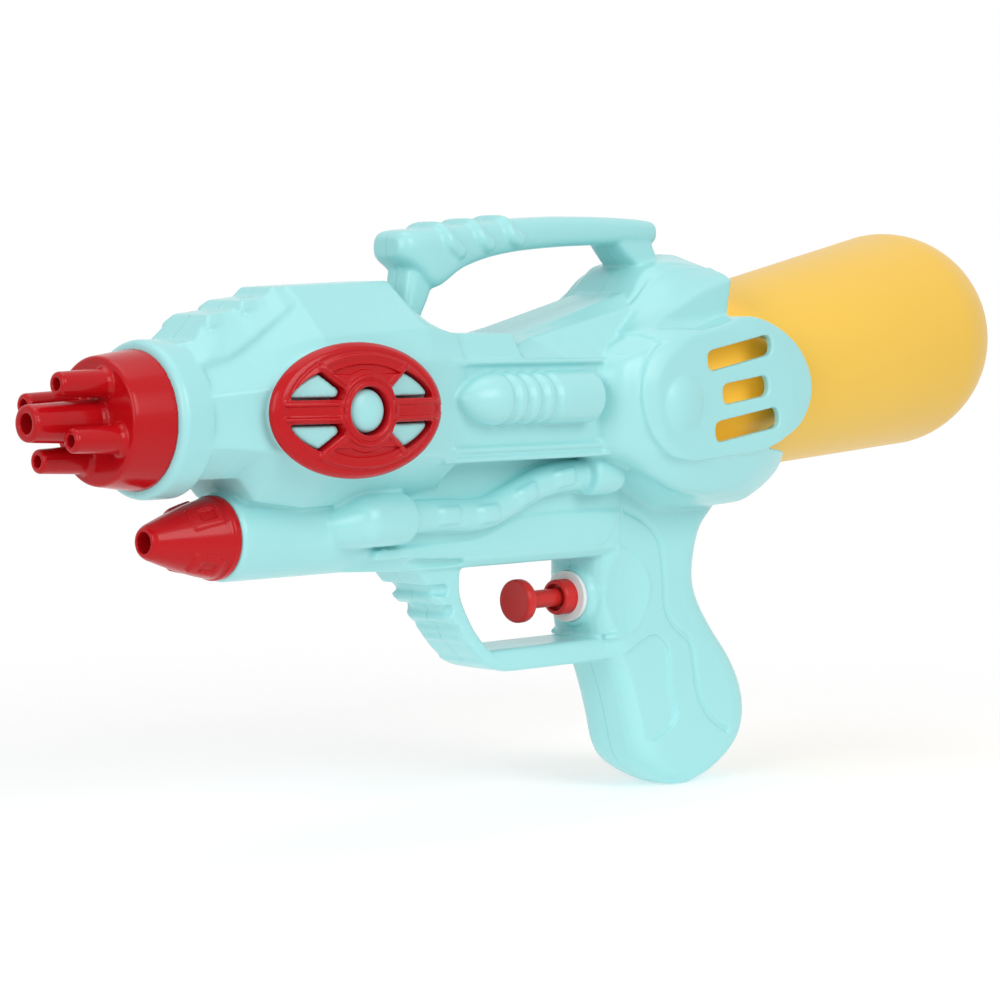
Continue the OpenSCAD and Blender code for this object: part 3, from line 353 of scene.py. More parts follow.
housing = {
    "centre": (165, 30),
    "levels": [(0, [(148, 54), (155, 62), (160, 65.2), (166, 66.6), (173, 67.3), (181, 67), (197, 63.5), (204, 0),
                    (146, 0)]),
               (11, [(132, 40), (138, 44.7), (150, 56), (155, 61.6), (159, 64), (166, 65.2), (181, 63.6), (198, 61.3),
                     (203, 9), (200, 4.6), (194, 1.6), (176, 0), (160, 0), (148, 6), (136, 15), (132, 20)]),
               (19.5, [(126.5, 36), (128.5, 41), (134, 43.8), (145, 48.8), (152, 51.8), (159, 54.8), (166, 57.4),
                       (180, 60.6), (199, 56), (203, 13), (196, 7), (186, 2.2), (170, 2), (157, 4.6), (148, 9),
                       (126.5, 17.5)]),
               (26, [(129, 34), (130.5, 39.5), (136, 43), (146, 47), (158, 51.2), (171, 55), (186, 57), (200, 48),
                     (203, 21), (190, 12), (178, 6.5), (165, 5), (152, 6.4), (142, 10.6), (131.7, 17.2), (129, 24)]),
               (29, [(134.8, 34), (138.4, 40), (147, 45.4), (162, 49.5), (178, 50.5), (192, 45.5), (200.5, 38),
                     (202, 31), (196, 21), (182, 13.4), (165, 11), (151, 12), (140, 17), (134.8, 25)]),
               (30.5, [(139, 34), (143.4, 40), (152, 44.5), (165, 46), (184, 44), (190, 36), (190, 26), (184, 17),
                       (165, 14), (150, 15), (142, 21)])],
    "rim": [(100, 90), (181, 90), (180.4, 66.6), (178.8, 60.6), (174.3, 49.9), (174, 44), (183, 16.5), (195, 15),
            (199.4, 8.4), (199, 3), (190, -20), (100, -20)],
    "section": [(20.2, 90), (20.2, 60.6), (22.2, 49.9), (24.4, 46.9), (60, 45.2), (60, -40)],
    "front": [(100, -40), (100, 41.2), (118.9, 41.2), (126.7, 45), (140.5, 51.8), (147, 56), (152.4, 60.6),
              (157.4, 64.4), (166, 70), (181, 90), (260, 90), (260, -40)],
    "rake": (8, 0.8),
    "ear": [(120, 46.5), (140, 46.5), (145, 42), (190, 36), (190, 80), (120, 80)], "earY": 13, "earRise": 0.8,
    "cheek": [(133.5, 30), (135, 39), (142.5, 45), (163, 48.5), (174, 51.5), (186, 48.7), (195.5, 42.6), (199.6, 36),
              (200.6, 31), (199, 26), (195, 21.5), (181, 15.8), (151, 14), (143.5, 15.4), (136.5, 21.5)],
    "relief": 1.3,
    "dome": (148, 28.8, 7.4, 1.86),
    "slots": [(169.6, 41.4, 25.6, 10), (172, 31.8, 18.4, 7), (172.8, 22.8, 25.6, 8)],
    "slotWide": 5.4,
}
side = {
    "bulletX": (76.6, 89.3, 108.6, 122.1), "bulletR": 6.4, "bulletZ": 31, "bulletY": -23, "bulletRibs": 4,
    "podX": (47, 69), "podZ": 2.8, "podR": 6.4, "podY": -13,
    "pipeR": 4, "pipeY": -13.2,
    "pipe": [(64, 3.2), (80, 2.9), (90, 2.5), (95, 2.9), (99.8, 4.3), (106.5, 6.8), (113.2, 9.2),
             (120.1, 10.4), (130, 10.9)],
    "pads": [(79.7, 3.1, 0), (93, 2.9, 2), (106.3, 7.1, 20), (119.9, 10.7, 7)],
    "knobX": (128.5, 141), "knobR": 5.3, "knobY": -15.4,
    "lines": (39.8, 18.9, 16.6), "lineX": (76, 132), "lineHalf": 0.6, "lineRise": 1.1, "panelY": -21.5,
    "plate": [(60, -4.6), (76, -4.2), (90, -4), (95, -3.4), (101.7, -1.2), (109.5, 0.9), (122, 1.2), (146.8, 0.8),
              (139.6, -7.3), (115, -7.2), (60, -7)],
    "scoop": [(141, -8.7), (145.3, -8.9), (152.9, -12.8), (156.3, -17), (157.2, -21.7), (153, -28.9), (147.9, -31.4),
              (142.5, -31.9)],
    "scoopFlat": 147.8, "scoopBall": (147, -17.6, -20.8), "scoopR": 10, "scoopShape": (1.7, 0.82, 1.75),
    "palm": [(136, -36.2), (143.7, -37), (149.6, -36.6), (153.9, -34.4), (160.7, -31.8), (165.9, -36.3), (166.9, -48.1),
             (170, -56), (161.7, -60.4), (149.7, -62.6), (136, -64)],
    "palmLine": [(148, 0.8), (156, -2.6), (161.7, -8), (163.6, -17), (164.3, -25.4), (168, -31), (174, -35.4),
                 (176, -42), (177.5, -49.3), (182, -56), (190, -61)],
    "hairline": [(148.4, 3.6), (147.2, 0.7), (143, -3), (138.6, -6.6)],
}
badge = {
    "centre": Vector((42.8, -23.9, 29.4)), "tilt": radians(5), "long": 24.5, "high": 15.7, "crown": 3.4, "rim": 2.2,
    "hub": 5.6, "hubRing": 2.4, "spoke": 5.4, "fan": 37, "windowLong": 21.4, "windowHigh": 11,
}
tankSize = {"at": Vector((150, 0, 27.1)), "tilt": radians(8), "r": 22.4, "endR": 30.5, "len": 121, "wall": 1.6,
            "shoulder": 10, "neckR": 10.8, "neckBore": 9.4, "neckFront": -12, "pitch": 4, "threadFrom": -9,
            "turns": 1.5}
tankAlong = Vector((cos(tankSize["tilt"]), 0, sin(tankSize["tilt"])))


# Rings of the tank housing, from the seam out to the cheek
def housingRings(grow):
    levels = [(y, *[reach(line, housing["centre"], 2 * pi * k / 120) for k in range(120)])
              for y, line in housing["levels"]]
    flat = [tuple(a + (b - a) * t for a, b in zip(levels[0], levels[1])) for t in (-0.2, 0.3, 0.65)]
    run = flat + between(levels[1:], 6)
    rings = []
    for y, *radii in run:
        for _ in range(2):
            radii = [(radii[i - 1] + 2 * r + radii[(i + 1) % 120]) / 4 for i, r in enumerate(radii)]
        rings.append([(housing["centre"][0] + (r + grow) * cos(2 * pi * k / 120), -y - (grow if y > 15 else 0),
                       housing["centre"][1] + (r + grow) * sin(2 * pi * k / 120)) for k, r in enumerate(radii)])
    return rings


# The hood narrows above the cheeks and its front is raked back towards the sides
def hoodTrim(obj, depth):
    across = inset(bothSides(housing["section"]), depth)
    cut(obj, loft("hoodAcross", [[(x, y, z) for y, z in across] for x in (90, 270)]), "INTERSECT")
    start, lean = housing["rake"]
    front = inset(housing["front"], depth)
    cut(obj, loft("hoodFront", [[(x - lean * (y + start), y, z) for x, z in front] for y in (-70, 3)]), "INTERSECT")
    return obj


# Soft-cornered rings down the grip
def gripRings(wall):
    rings = []
    for z, front, rear, share in between(body["grip"], 4):
        y = body["gripHalf"] * share - wall
        rings.append([(x, yy, z) for x, yy in softBox(front + wall, rear - wall, -y, y, body["gripSoft"] - wall, 6)])
    return rings


# Rings down the front bar of the guard
def guardRings(depth):
    half = guard["half"] - depth
    return [[(x, y, z) for x, y in softBox(x0 + depth, x1, -half, half, 1.8)]
            for z, x0, x1 in between(guard["front"], 3)]


def bodyForms():
    forms = [loftX("shield", body["shield"]), loftX("upper", body["upper"]), loftX("keel", body["keel"])]
    forms.append(loft("grip", gripRings(0)))
    rings = []
    for x, low, high, share in between(body["handle"], 5):
        y = body["handleHalf"] * share
        rings.append([(x, yy, z) for yy, z in softBox(-y, y, low, high, 4.4, 6)])
    forms.append(loft("handle", rings))
    for x, tipX, tipZ in body["ribs"]:  # finger ribs that lean down the front of the handle
        run = x - body["ribFrom"]
        top, y = body["ribTop"][0] + run * body["ribTop"][1], body["ribHalf"][0] - run * body["ribHalf"][1]
        route = [(x, 3, top), (x, -3.4, top), (x + 0.2, y * -0.8, top - 1.2), (x + 0.8, 0.5 - y, top - 3),
                 (tipX, 0.4 - y, tipZ)]
        forms.append(sweep("finger", between(route, 4), body["ribR"], 20, (0, 0.3, 1)))
        forms.append(ball((tipX, 0.4 - y, tipZ), body["ribR"]))
    forms.append(loft("neck", [[(x, y, z) for x, y in softBox(x0, x1, -5, 5, 3)]
                               for z, x0, x1 in between(body["neck"], 3)]))
    forms.append(loft("heel", [[(x, y, z) for x, y in softBox(x0, x1, -half, half, 3)]
                               for z, x0, x1, half in between(body["heel"], 3)]))
    forms.append(loftX("wedge", body["wedge"]))
    slope, out, up = body["padLean"]
    ridge = [(x, half[0][1] + 0.1) for x, half in body["wedge"]]
    for x, z, y in body["wedgePads"]:  # pads on the slope, kept under the wedge's top line
        line = turnedBox(x, z, *body["padBox"])
        pad = loft("wedgePad", [[(px, slope * (pz - z) - y - d * out, pz + d * up) for px, pz in line]
                                for d in (-2, body["padRise"])])
        forms.append(cut(pad, prism("ridge", ridge + [(46, 30), (3.4, 30)], 0, 30), "INTERSECT"))
    front = body["ringX"]
    forms.append(turned("ring", [(front, 14), (front, 16.8), (front + 0.5, 17.6), (front + 1.4, body["ringR"]),
                                 (6.2, body["ringR"]), (6.6, 17.8), (6.7, 15)], (0, 0, body["muzzleZ"]), count=96))
    r = body["barrelR"]
    forms.append(turned("barrel", [(body["barrelX"], 9.6), (21.4, 10.2), (22.4, r), (62, r)], (0, 0, 0), count=72))
    boss, r = body["bossX"], body["bossR"]
    forms.append(turned("boss", [(boss, 6.9), (boss + 0.1, 7.3), (boss + 0.8, r), (boss + 2.2, r), (boss + 2.5, 9.3),
                                 (boss + 3.3, 9.9), (boss + 6, 10.2)], (0, 0, body["pumpZ"]), count=48))
    return forms


def guardForms():
    half = guard["half"]
    front = loft("guardFront", guardRings(0))
    high = guard["slotHigh"] / 2
    for z, end in guard["slots"]:  # slots that wrap round the front bar
        line = softBox(60, end, z - high, z + high, 0.8)
        slot = loft("guardSlot", [[(px, y, pz) for px, pz in line] for y in (-14, 14)])
        cut(front, cut(slot, loft("guardCore", guardRings(guard["slotDeep"]))))
    forms = [front]
    forms.append(loft("guardBar", [[(x, y, z) for y, z in softBox(-half, half, low, guard["barTop"], 1.8)]
                                   for x, low in between(guard["bar"], 4)]))
    for z in guard["bumps"]:
        lean = [(row[0], row[1]) for row in guard["front"]]
        x = next(x0 + (x1 - x0) * (z - z0) / (z1 - z0) for (z0, x0), (z1, x1) in zip(lean, lean[1:]) if z1 <= z <= z0)
        forms.append(turned("guardBump", [(0, 0.4), (0.5, 1), (1.4, 1.3), (13.6, 1.3), (14.5, 1), (15, 0.4)],
                            (x + 0.7, -7.5, z), (0, 1, 0), 20))
    return forms


def housingForms():
    shell = loft("housing", housingRings(0))
    cut(shell, prism("rim", housing["rim"], -10, 40), "INTERSECT")
    hoodTrim(shell, 0)
    ear = loft("ear", housingRings(housing["earRise"]))
    cut(ear, prism("earRim", housing["rim"], -10, 40), "INTERSECT")
    cut(hoodTrim(ear, -housing["earRise"]), prism("earLine", housing["ear"], housing["earY"], 40), "INTERSECT")
    cheek = loft("cheek", housingRings(housing["relief"]))
    cut(cheek, prism("cheekLine", rounded(housing["cheek"], 40, 6), 12, 45), "INTERSECT")
    x, z, r, rise = housing["dome"]
    face = -housing["levels"][-1][0] - housing["relief"]
    curve = (r * r + rise * rise) / (2 * rise)
    cap = [(face - sqrt(curve ** 2 - (r * u) ** 2) + curve - rise, r * u)
           for u in (1, 0.93, 0.84, 0.7, 0.5, 0.3, 0.12, 0.01)]
    dome = turned("dome", [(face + 4, r + 0.3), (face + 0.2, r + 0.3)] + cap, (x, 0, z), (0, 1, 0), 64)
    return [shell, ear, cheek, dome]


def sideForms():
    x0, x1, x2, x3 = side["bulletX"]
    r = side["bulletR"]
    rib = (x2 - x1) / (2 * side["bulletRibs"])
    profile = [(x0, 0.3)] + [(x0 + (x1 - x0) * u, r * (1 - (1 - u) ** 2) ** 0.66)
                             for u in (0.03, 0.08, 0.16, 0.26, 0.4, 0.55, 0.7, 0.85, 1)]
    for i in range(side["bulletRibs"]):
        at = x1 + 2 * rib * i
        profile += [(at + 0.4, r - 0.9), (at + rib - 0.3, r - 0.9), (at + rib + 0.2, r - 0.1),
                    (at + 2 * rib - 0.1, r - 0.1)]
    profile += [(x2 + 0.2, r), (x3 - 0.8, r), (x3, r - 0.8)]
    forms = [turned("bullet", profile, (0, side["bulletY"], side["bulletZ"]), count=64)]
    a, b = side["podX"]
    y, z, r = side["podY"], side["podZ"], side["podR"]
    podEnd = [(b - 4, r - 0.1), (b - 2, r - 0.2), (b - 0.8, r - 0.7), (b, r - 1.8)]
    pod = joined("pod", [ball((a + 5, y + 4, z - 1), r - 1), ball((a + 9, y, z), r), ball((b - r, y, z), r),
                         turned("podEnd", podEnd, (0, y, z), count=48), ball((a + 12, -8.5, z), r - 1.4),
                         ball((b - r, -8.5, z), r - 1.4)])
    editAll(pod)
    bpy.ops.mesh.convex_hull()
    forms.append(finishMesh(pod))
    y = side["pipeY"]
    forms.append(sweep("pipe", [(x, y, z) for x, z in between(side["pipe"], 5)], side["pipeR"], 32, (0, 1, 0)))
    k0, k1 = side["knobX"]
    r = side["knobR"]
    forms.append(turned("knob", [(k0, r - 1.2), (k0 + 0.4, r - 0.4), (k0 + 1.2, r), (k1 - 5, r), (k1 - 3, r * 0.95),
                                 (k1 - 1.4, r * 0.78), (k1 - 0.4, r * 0.48), (k1, r * 0.1)],
                        (0, side["knobY"], side["pipe"][-1][1]), count=48))
    for x, z, slant in side["pads"]:
        out = side["pipeR"] - y
        forms.append(loft("pad", [[(px, -d, pz) for px, pz in turnedBox(x, z, long, high, slant, 1.3)]
                                  for d, long, high in ((out - 2, 7.4, 4.4), (out + 0.15, 7.4, 4.4),
                                                        (out + 0.2, 5.9, 3), (out + 0.75, 5.6, 2.7))]))
    for z in side["lines"]:
        forms.append(block("line", (side["lineX"][0], side["panelY"] - side["lineRise"], z - side["lineHalf"]),
                           (side["lineX"][1], side["panelY"] + 2, z + side["lineHalf"])))
    plate = rounded(side["plate"], 1.5, 3)
    forms.append(prism("keelPlate", plate, 9, 12.1))
    soft = body["gripSoft"]  # the border follows the grip round its front corner
    border = [(x, soft - body["gripHalf"] - 0.1 - sqrt(soft ** 2 - max(side["scoopFlat"] - x, 0) ** 2), z)
              for x, z in between(side["scoop"], 5)]
    forms.append(sweep("scoopBorder", border, 0.8, 12, (0, 1, 0)))
    return forms


# Outline in the plane of the badge, pushed out of the side
def onBadge(x, z, out):
    flat = Matrix.Rotation(-badge["tilt"], 3, "Z") @ Vector((x, -out, z))
    return badge["centre"] + flat


def badgePlate(name, outline, d0, d1):
    return loft(name, [[onBadge(x, z, d(x, z) if callable(d) else d) for x, z in outline] for d in (d0, d1)])


def oval(a, b, count=96):
    return [(a * cos(2 * pi * k / count), b * sin(2 * pi * k / count)) for k in range(count)]


# Height of the badge's dome over its back
def crownAt(x, z):
    rise = badge["crown"] / 0.4
    share = 1 - (x / (badge["long"] * 1.25)) ** 2 - (z / (badge["high"] * 1.25)) ** 2
    return badge["rim"] + badge["crown"] - rise + rise * sqrt(max(share, 0))


# Four fan-shaped windows between the spokes, the ring and the rim
def windowLines(gap):
    inner, low = badge["hub"] + badge["hubRing"] + gap, badge["spoke"] / 2 + gap
    a, b = badge["windowLong"] - gap, badge["windowHigh"] - gap
    slope = tan(radians(badge["fan"]))
    shift = gap / cos(radians(badge["fan"]))
    edge = a * sqrt(1 - (low / b) ** 2)
    run = [(0.01 * k, 0.01 * k * slope - shift) for k in range(3000)]
    tip = max(x for x, z in run if z > 0 and (x / a) ** 2 + (z / b) ** 2 <= 1)
    near = min(x for x, z in run if z > 0 and x * x + z * z >= inner * inner)
    arc = [(edge + (tip - edge) * k / 6, b * sqrt(1 - ((edge + (tip - edge) * k / 6) / a) ** 2)) for k in range(7)]
    quarter = [(sqrt(inner * inner - low * low), low)] + arc + [(near, near * slope - shift)]
    return [rounded([(sx * x, sz * z) for x, z in quarter], 0.8, 3) for sx in (1, -1) for sz in (1, -1)]


# What shows of the body through the badge: its seat, the window pads and the hub
def seatForms():
    forms = [badgePlate("seat", oval(badge["long"] - 1.2, badge["high"] - 1.2), -6, 0)]
    for line in windowLines(0.45):
        forms.append(badgePlate("windowPad", line, -1, lambda x, z: crownAt(x, z) - 1.5))
    rim = badge["hub"] - 0.5
    dome = [(0, rim), (4, rim), (4.6, rim - 0.3), (5.05, rim - 1), (5.45, 2.8), (5.62, 1.4), (5.7, 0.2)]
    forms.append(turned("hub", dome, badge["centre"], onBadge(0, 0, 1) - badge["centre"], 48))
    return forms


# What is cut out of the left side
def sideCutters():
    spot = body["gripHalf"]
    tools = [prism("palm", rounded(side["palm"], 5), spot - 1, 40)]
    tools.append(ball(side["scoopBall"], side["scoopR"], side["scoopShape"]))
    for line, deep in ((side["palmLine"], 0.75), (side["hairline"], 0.35)):
        face = spot + (1.1 if deep < 0.5 else 0)
        tools.append(sweep("groove", [(x, -face, z) for x, z in between(line, 4)], deep, 12, (0, 1, 0)))
    for x, z, long, slant in housing["slots"]:
        wide = housing["slotWide"]
        tools.append(prism("slot", turnedBox(x, z, long, wide, slant, wide / 2 - 0.3), 15, 60))
    tools.append(prism("topSlot", rounded(guard["topSlot"], 1), 9.4, 40))
    tools.append(block("farSide", (-60, 1.2, -120), (320, 120, 120)))
    return tools


# The room inside the walls, as one tool
def hollow():
    wall = body["wall"]
    inner = [loft("gripCore", [[(x, y, max(z, -71.8)) for x, y, z in ring] for ring in gripRings(wall + 0.2)][:-5])]
    shieldCore = [(max(x, 6.2), half) for x, half in body["shield"]]
    inner += [loftX("shieldCore", shieldCore, wall), loftX("upperCore", body["upper"], wall),
              loftX("keelCore", body["keel"], wall)]
    plate = loft("cheekCore", housingRings(housing["relief"] - 1.7))
    cut(plate, prism("cheekIn", inset(rounded(housing["cheek"], 5), 3), 24, 45), "INTERSECT")
    inner.append(plate)
    rings = [[(x, y + wall if y < -15 else y, z) for x, y, z in ring] for ring in housingRings(-wall)]
    inner.append(hoodTrim(loft("housingCore", rings), wall))
    inner.append(turned("barrelBore", [(19, 8.4), (60, 8.4)], (0, 0, 0), count=48))
    inner.append(block("valveRoom", (26.8, -6.2, 0), (60.8, 6.2, 15)))
    return thin(voxel(joined("core", inner), 0.7), 26000)


skin = {"first": 0.42, "last": 0.4, "rounds": 4, "faces": 190000, "bore": 14.8}  # remeshing of the shells


def makeShells():
    left = joined("leftShell", bodyForms() + guardForms() + housingForms() + sideForms() + seatForms())
    voxel(left, skin["first"])
    print("body forms joined,", len(left.data.vertices))
    for tool in sideCutters():
        cut(left, tool)
    voxel(left, skin["last"])
    soften(left, skin["rounds"])
    thin(left, skin["faces"])
    soften(left, 2, 0.35)
    print("outside of the body,", len(left.data.polygons))
    cut(left, hollow())
    spigot, hole, room = body["spigotR"], body["bossHole"], skin["bore"]
    for tool in (turned("muzzleBore", [(-8, spigot), (9, spigot)], (0, 0, body["muzzleZ"]), count=72),
                 turned("pumpBore", [(137, hole), (150, hole)], (0, 0, body["pumpZ"]), count=48),
                 turned("socketRoom", [(-18, room), (1, room)], tankSize["at"], tankAlong, 48),
                 block("seam", (-60, -0.04, -120), (320, 60, 120))):
        cut(left, tool)
    shaded(left, 80)
    print("left shell,", len(left.data.polygons), "faces")
    return left, mirrorCopy(left, "rightShell")


leftShell, rightShell = makeShells()


# Red oval badge: domed plate with four windows, a ringed hub, ribs and two sunk panels
def badgeRib(name, start, end, half, lift, count=10):
    start, end = Vector(start), Vector(end)
    across = Vector((start.y - end.y, end.x - start.x)).normalized()
    rings = []
    for k in range(count + 1):
        spot = start + (end - start) * k / count
        row = []
        for share, high in ((-1, False), (1, False), (0.55, True), (-0.55, True)):
            x, z = spot + across * half * share
            row.append(onBadge(x, z, crownAt(x, z) + lift if high else 0.6))
        rings.append(row)
    return loft(name, rings)


def makeBadge():
    a, b = badge["long"], badge["high"]
    rings = [[onBadge(x * f, z * f, d) for x, z in oval(a, b)]
             for f, d in ((1, 0), (1, 0.9), (0.992, 1.45), (0.975, 1.85))]
    for f, sink in ((0.94, 0.1), (0.885, 0.1), (0.87, 0.45), (0.855, 0.4), (0.84, 0.1), (0.75, 0.1), (0.6, 0.1),
                    (0.45, 0.1), (0.3, 0.1), (0.15, 0.1), (0.03, 0.1)):
        rings.append([onBadge(x * f, z * f, crownAt(x * f, z * f) - sink) for x, z in oval(a, b)])
    forms = [loft("plate", rings)]
    for sx in (1, -1):
        for z in (-1.75, 1.75):
            forms.append(badgeRib("spokeRib", (sx * 7, z), (sx * 22, z), 0.75, 0.55))
        for sz in (1, -1):
            turn = radians(badge["fan"])
            off = Vector((-sin(turn), cos(turn))) * 1.1
            ends = [Vector((cos(turn), sin(turn))) * r + off for r in (7.4, 16.4)]
            forms.append(badgeRib("fanRib", *[(sx * p.x, sz * p.y) for p in ends], 0.75, 0.5))
    for sz in (1, -1):
        arc = [(0.8 * a * cos(radians(t)), 0.8 * b * sin(radians(t)) * sz) for t in range(50, 131, 5)]
        forms.append(sweep("fanArc", [onBadge(x, z, crownAt(x, z) - 0.1) for x, z in arc], 0.6, 12, (0, 1, 0)))
    axis = onBadge(0, 0, 1) - badge["centre"]
    ring = [(0.6, 8.3), (5.4, 8.3), (5.85, 8.05), (5.9, 7.6), (5.45, 7.35), (5.45, 7), (6.1, 6.75), (6.2, 6.3),
            (6, 5.8), (5.6, 5.5)]
    forms.append(turned("hubRing", ring, badge["centre"], axis, 64))
    obj = voxel(joined("leftBadge", forms), 0.2)
    for line in windowLines(0):
        cut(obj, badgePlate("window", line, -1, 9))
    for sz in (1, -1):
        outer = [(0.68 * a * cos(radians(t)), 0.68 * b * sin(radians(t)) * sz) for t in range(52, 129, 4)]
        inner = [(9.4 * cos(radians(t)), 9.4 * sin(radians(t)) * sz) for t in range(118, 61, -4)]
        panel = rounded(outer + inner, 0.5, 2)
        if sz < 0:
            panel.reverse()
        cut(obj, badgePlate("sunkPanel", panel, lambda x, z: crownAt(x, z) - 0.75, 9))
    cut(obj, turned("hubHole", [(-1, badge["hub"]), (9, badge["hub"])], badge["centre"], axis, 64))
    cut(obj, badgePlate("notch", softBox(23.4, 27, -0.7, 0.7, 0.3), 0.9, 9))
    voxel(obj, 0.18)
    soften(obj, 3)
    thin(obj, 90000)
    soften(obj, 1, 0.3)
    cut(obj, badgePlate("flatBack", oval(a + 6, b + 6), -4, 0))
    shaded(obj, 50)
    return obj, mirrorCopy(obj, "rightBadge")


leftBadge, rightBadge = makeBadge()
print("badges made,", len(leftBadge.data.polygons))
muzzleSize = {"z": 27.7, "face": -13.4, "tube": 13, "tubeR": 2.75, "tubeCircle": 9.3, "tubeStart": 23, "count": 4,
              "centre": 18.6, "centreR": 4.2}


def makeMuzzle():
    face, z = muzzleSize["face"], muzzleSize["z"]
    forms = [turned("drum", [(face, 13.9), (face + 0.1, 14.2), (face + 0.4, 14.5), (face + 0.9, 14.63),
                             (-2.4, 16.1), (-2.4, 13), (5.6, 13)], (0, 0, z), count=128)]
    bores = [turned("rearRoom", [(-0.4, 11), (9, 11)], (0, 0, z), count=72)]
    spots = [(0, 0, muzzleSize["centre"], muzzleSize["centreR"], 0.9, 1.9, 7)]
    for k in range(muzzleSize["count"]):
        turn = radians(muzzleSize["tubeStart"] + 360 * k / muzzleSize["count"])
        r = muzzleSize["tubeCircle"]
        spots.append((-r * sin(turn), r * cos(turn), muzzleSize["tube"], muzzleSize["tubeR"], 0.6, 1.3, 4.5))
    for y, dz, long, r, flare, lip, deep in spots:
        tip = face - long
        at, foot, bore = (0, y, z + dz), r + flare, r - lip
        forms.append(turned("tube", [(tip, r - 0.7), (tip + 0.15, r - 0.25), (tip + 0.6, r),
                                     (face - 1.2, r + flare * 0.85), (face - 0.3, foot + 0.3), (face + 1, foot + 0.9)],
                            at, count=64))
        bores.append(turned("bore", [(tip - 2, bore), (tip + deep - 0.6, bore - 0.1), (tip + deep, bore - 0.6)],
                            at, count=48))
    obj = forms[0]
    for form in forms[1:]:
        cut(obj, form, "UNION")
    for bore in bores:
        cut(obj, bore)
    voxel(obj, 0.3)
    soften(obj, 3)
    thin(obj, 110000)
    soften(obj, 2, 0.3)
    obj.name = obj.data.name = "muzzle"
    return shaded(obj, 50)


muzzle = makeMuzzle()
nozzleSize = {"long": 20.8, "r": 9.9, "tip": 3.7, "flange": 2, "spigotR": 8.3, "spigot": 6, "outlet": 2.5, "deep": 7,
              "bore": 4, "frameRise": 0.65}


def nozzleLine(grow):
    cone = nozzleSize["long"] - nozzleSize["flange"]
    tip, wide = nozzleSize["tip"], nozzleSize["r"] - 0.4
    run = [(cone * k / 16, tip + (wide - tip) * (0.62 * k / 16 + 0.38 * sin(pi / 2 * k / 16)) + grow)
           for k in range(17)]
    return [(0, tip - 0.75 + grow), (0.12, tip - 0.3 + grow)] + [(s, r) for s, r in run if s > 0.5]


def makeNozzle():
    long, r, flange = nozzleSize["long"], nozzleSize["r"], nozzleSize["flange"]
    spigot, outlet = nozzleSize["spigotR"], nozzleSize["outlet"]
    line = nozzleLine(0) + [(long - flange, r - 0.3), (long - flange + 0.3, r), (long, r), (long, spigot),
                            (long + nozzleSize["spigot"], spigot)]
    obj = turned("nozzle", line, (0, 0, 0), count=96)
    for turn in (45, 135, 225, 315):  # raised frames round the cone
        frameBit = loft("frame", [[(x, y, z) for x, y in softBox(9.6, 17, -3, 3, 0.5)] for z in (3, 14)])
        cut(frameBit, loft("pocket", [[(x, y, z) for x, y in softBox(11.6, 15.4, -1.5, 1.5, 0.4)] for z in (2, 15)]))
        hold(frameBit)
        bpy.ops.transform.rotate(value=radians(turn), orient_axis="X", center_override=(0, 0, 0))
        bpy.ops.object.transform_apply(location=True, rotation=True, scale=True)
        cut(frameBit, turned("skin", nozzleLine(nozzleSize["frameRise"]), (0, 0, 0), count=96), "INTERSECT")
        cut(obj, frameBit, "UNION")
    cut(obj, turned("outlet", [(-2, outlet), (nozzleSize["deep"], outlet)], (0, 0, 0), count=48))
    cut(obj, turned("jetWay", [(5, 1.2), (12, 1.2)], (0, 0, 0), count=32))
    cut(obj, turned("inner", [(9, nozzleSize["bore"]), (40, nozzleSize["bore"])], (0, 0, 0), count=48))
    voxel(obj, 0.24)
    soften(obj, 2)
    thin(obj, 70000)
    soften(obj, 2, 0.3)
    obj.name = obj.data.name = "nozzle"
    return shaded(obj, 50)


nozzle = makeNozzle()
print("muzzle and nozzle made")


def tankLine(wall):
    size = tankSize
    flare = [(2 + (size["shoulder"] - 2) * (1 - cos(pi / 2 * k / 10)) + wall * cos(pi / 4 * k / 10),
              size["neckR"] + (size["r"] - size["neckR"]) * sin(pi / 2 * k / 10) - wall) for k in range(11)]
    r = size["endR"] - wall
    cap = [(size["len"] + r * sin(pi / 2 * k / 20), r * cos(pi / 2 * k / 20)) for k in range(20)]
    return flare + cap + [(size["len"] + r, 0.2)]


def makeTank():
    size = tankSize
    at, along = size["at"], tankAlong
    front, r = size["neckFront"], size["neckR"]
    mouth = [(front, size["neckBore"] + 0.2), (front + 0.1, r - 0.5), (front + 0.6, r)]
    obj = turned("tankBottle", mouth + tankLine(0), at, along, 144)
    up = along.cross(Vector((0, 1, 0)))
    helix = []
    for k in range(97):
        turn = 2 * pi * size["turns"] * k / 96
        r = size["neckR"] + 0.25 * min(1, k / 6, (96 - k) / 6) - 0.05
        helix.append(at + along * (size["threadFrom"] + size["pitch"] * size["turns"] * k / 96)
                     + Vector((0, 1, 0)) * r * cos(turn) + up * r * sin(turn))
    cut(obj, sweep("thread", helix, 0.8, 12, along), "UNION")
    inside = [(size["neckFront"] - 2, size["neckBore"]), (4, size["neckBore"])] + [
        p for p in tankLine(size["wall"]) if p[0] > 5 and p[1] > size["neckBore"] or p[0] > size["len"]]
    cut(obj, turned("tankRoom", inside, at, along, 144))
    obj.name = obj.data.name = "tankBottle"
    return shaded(obj, 40)


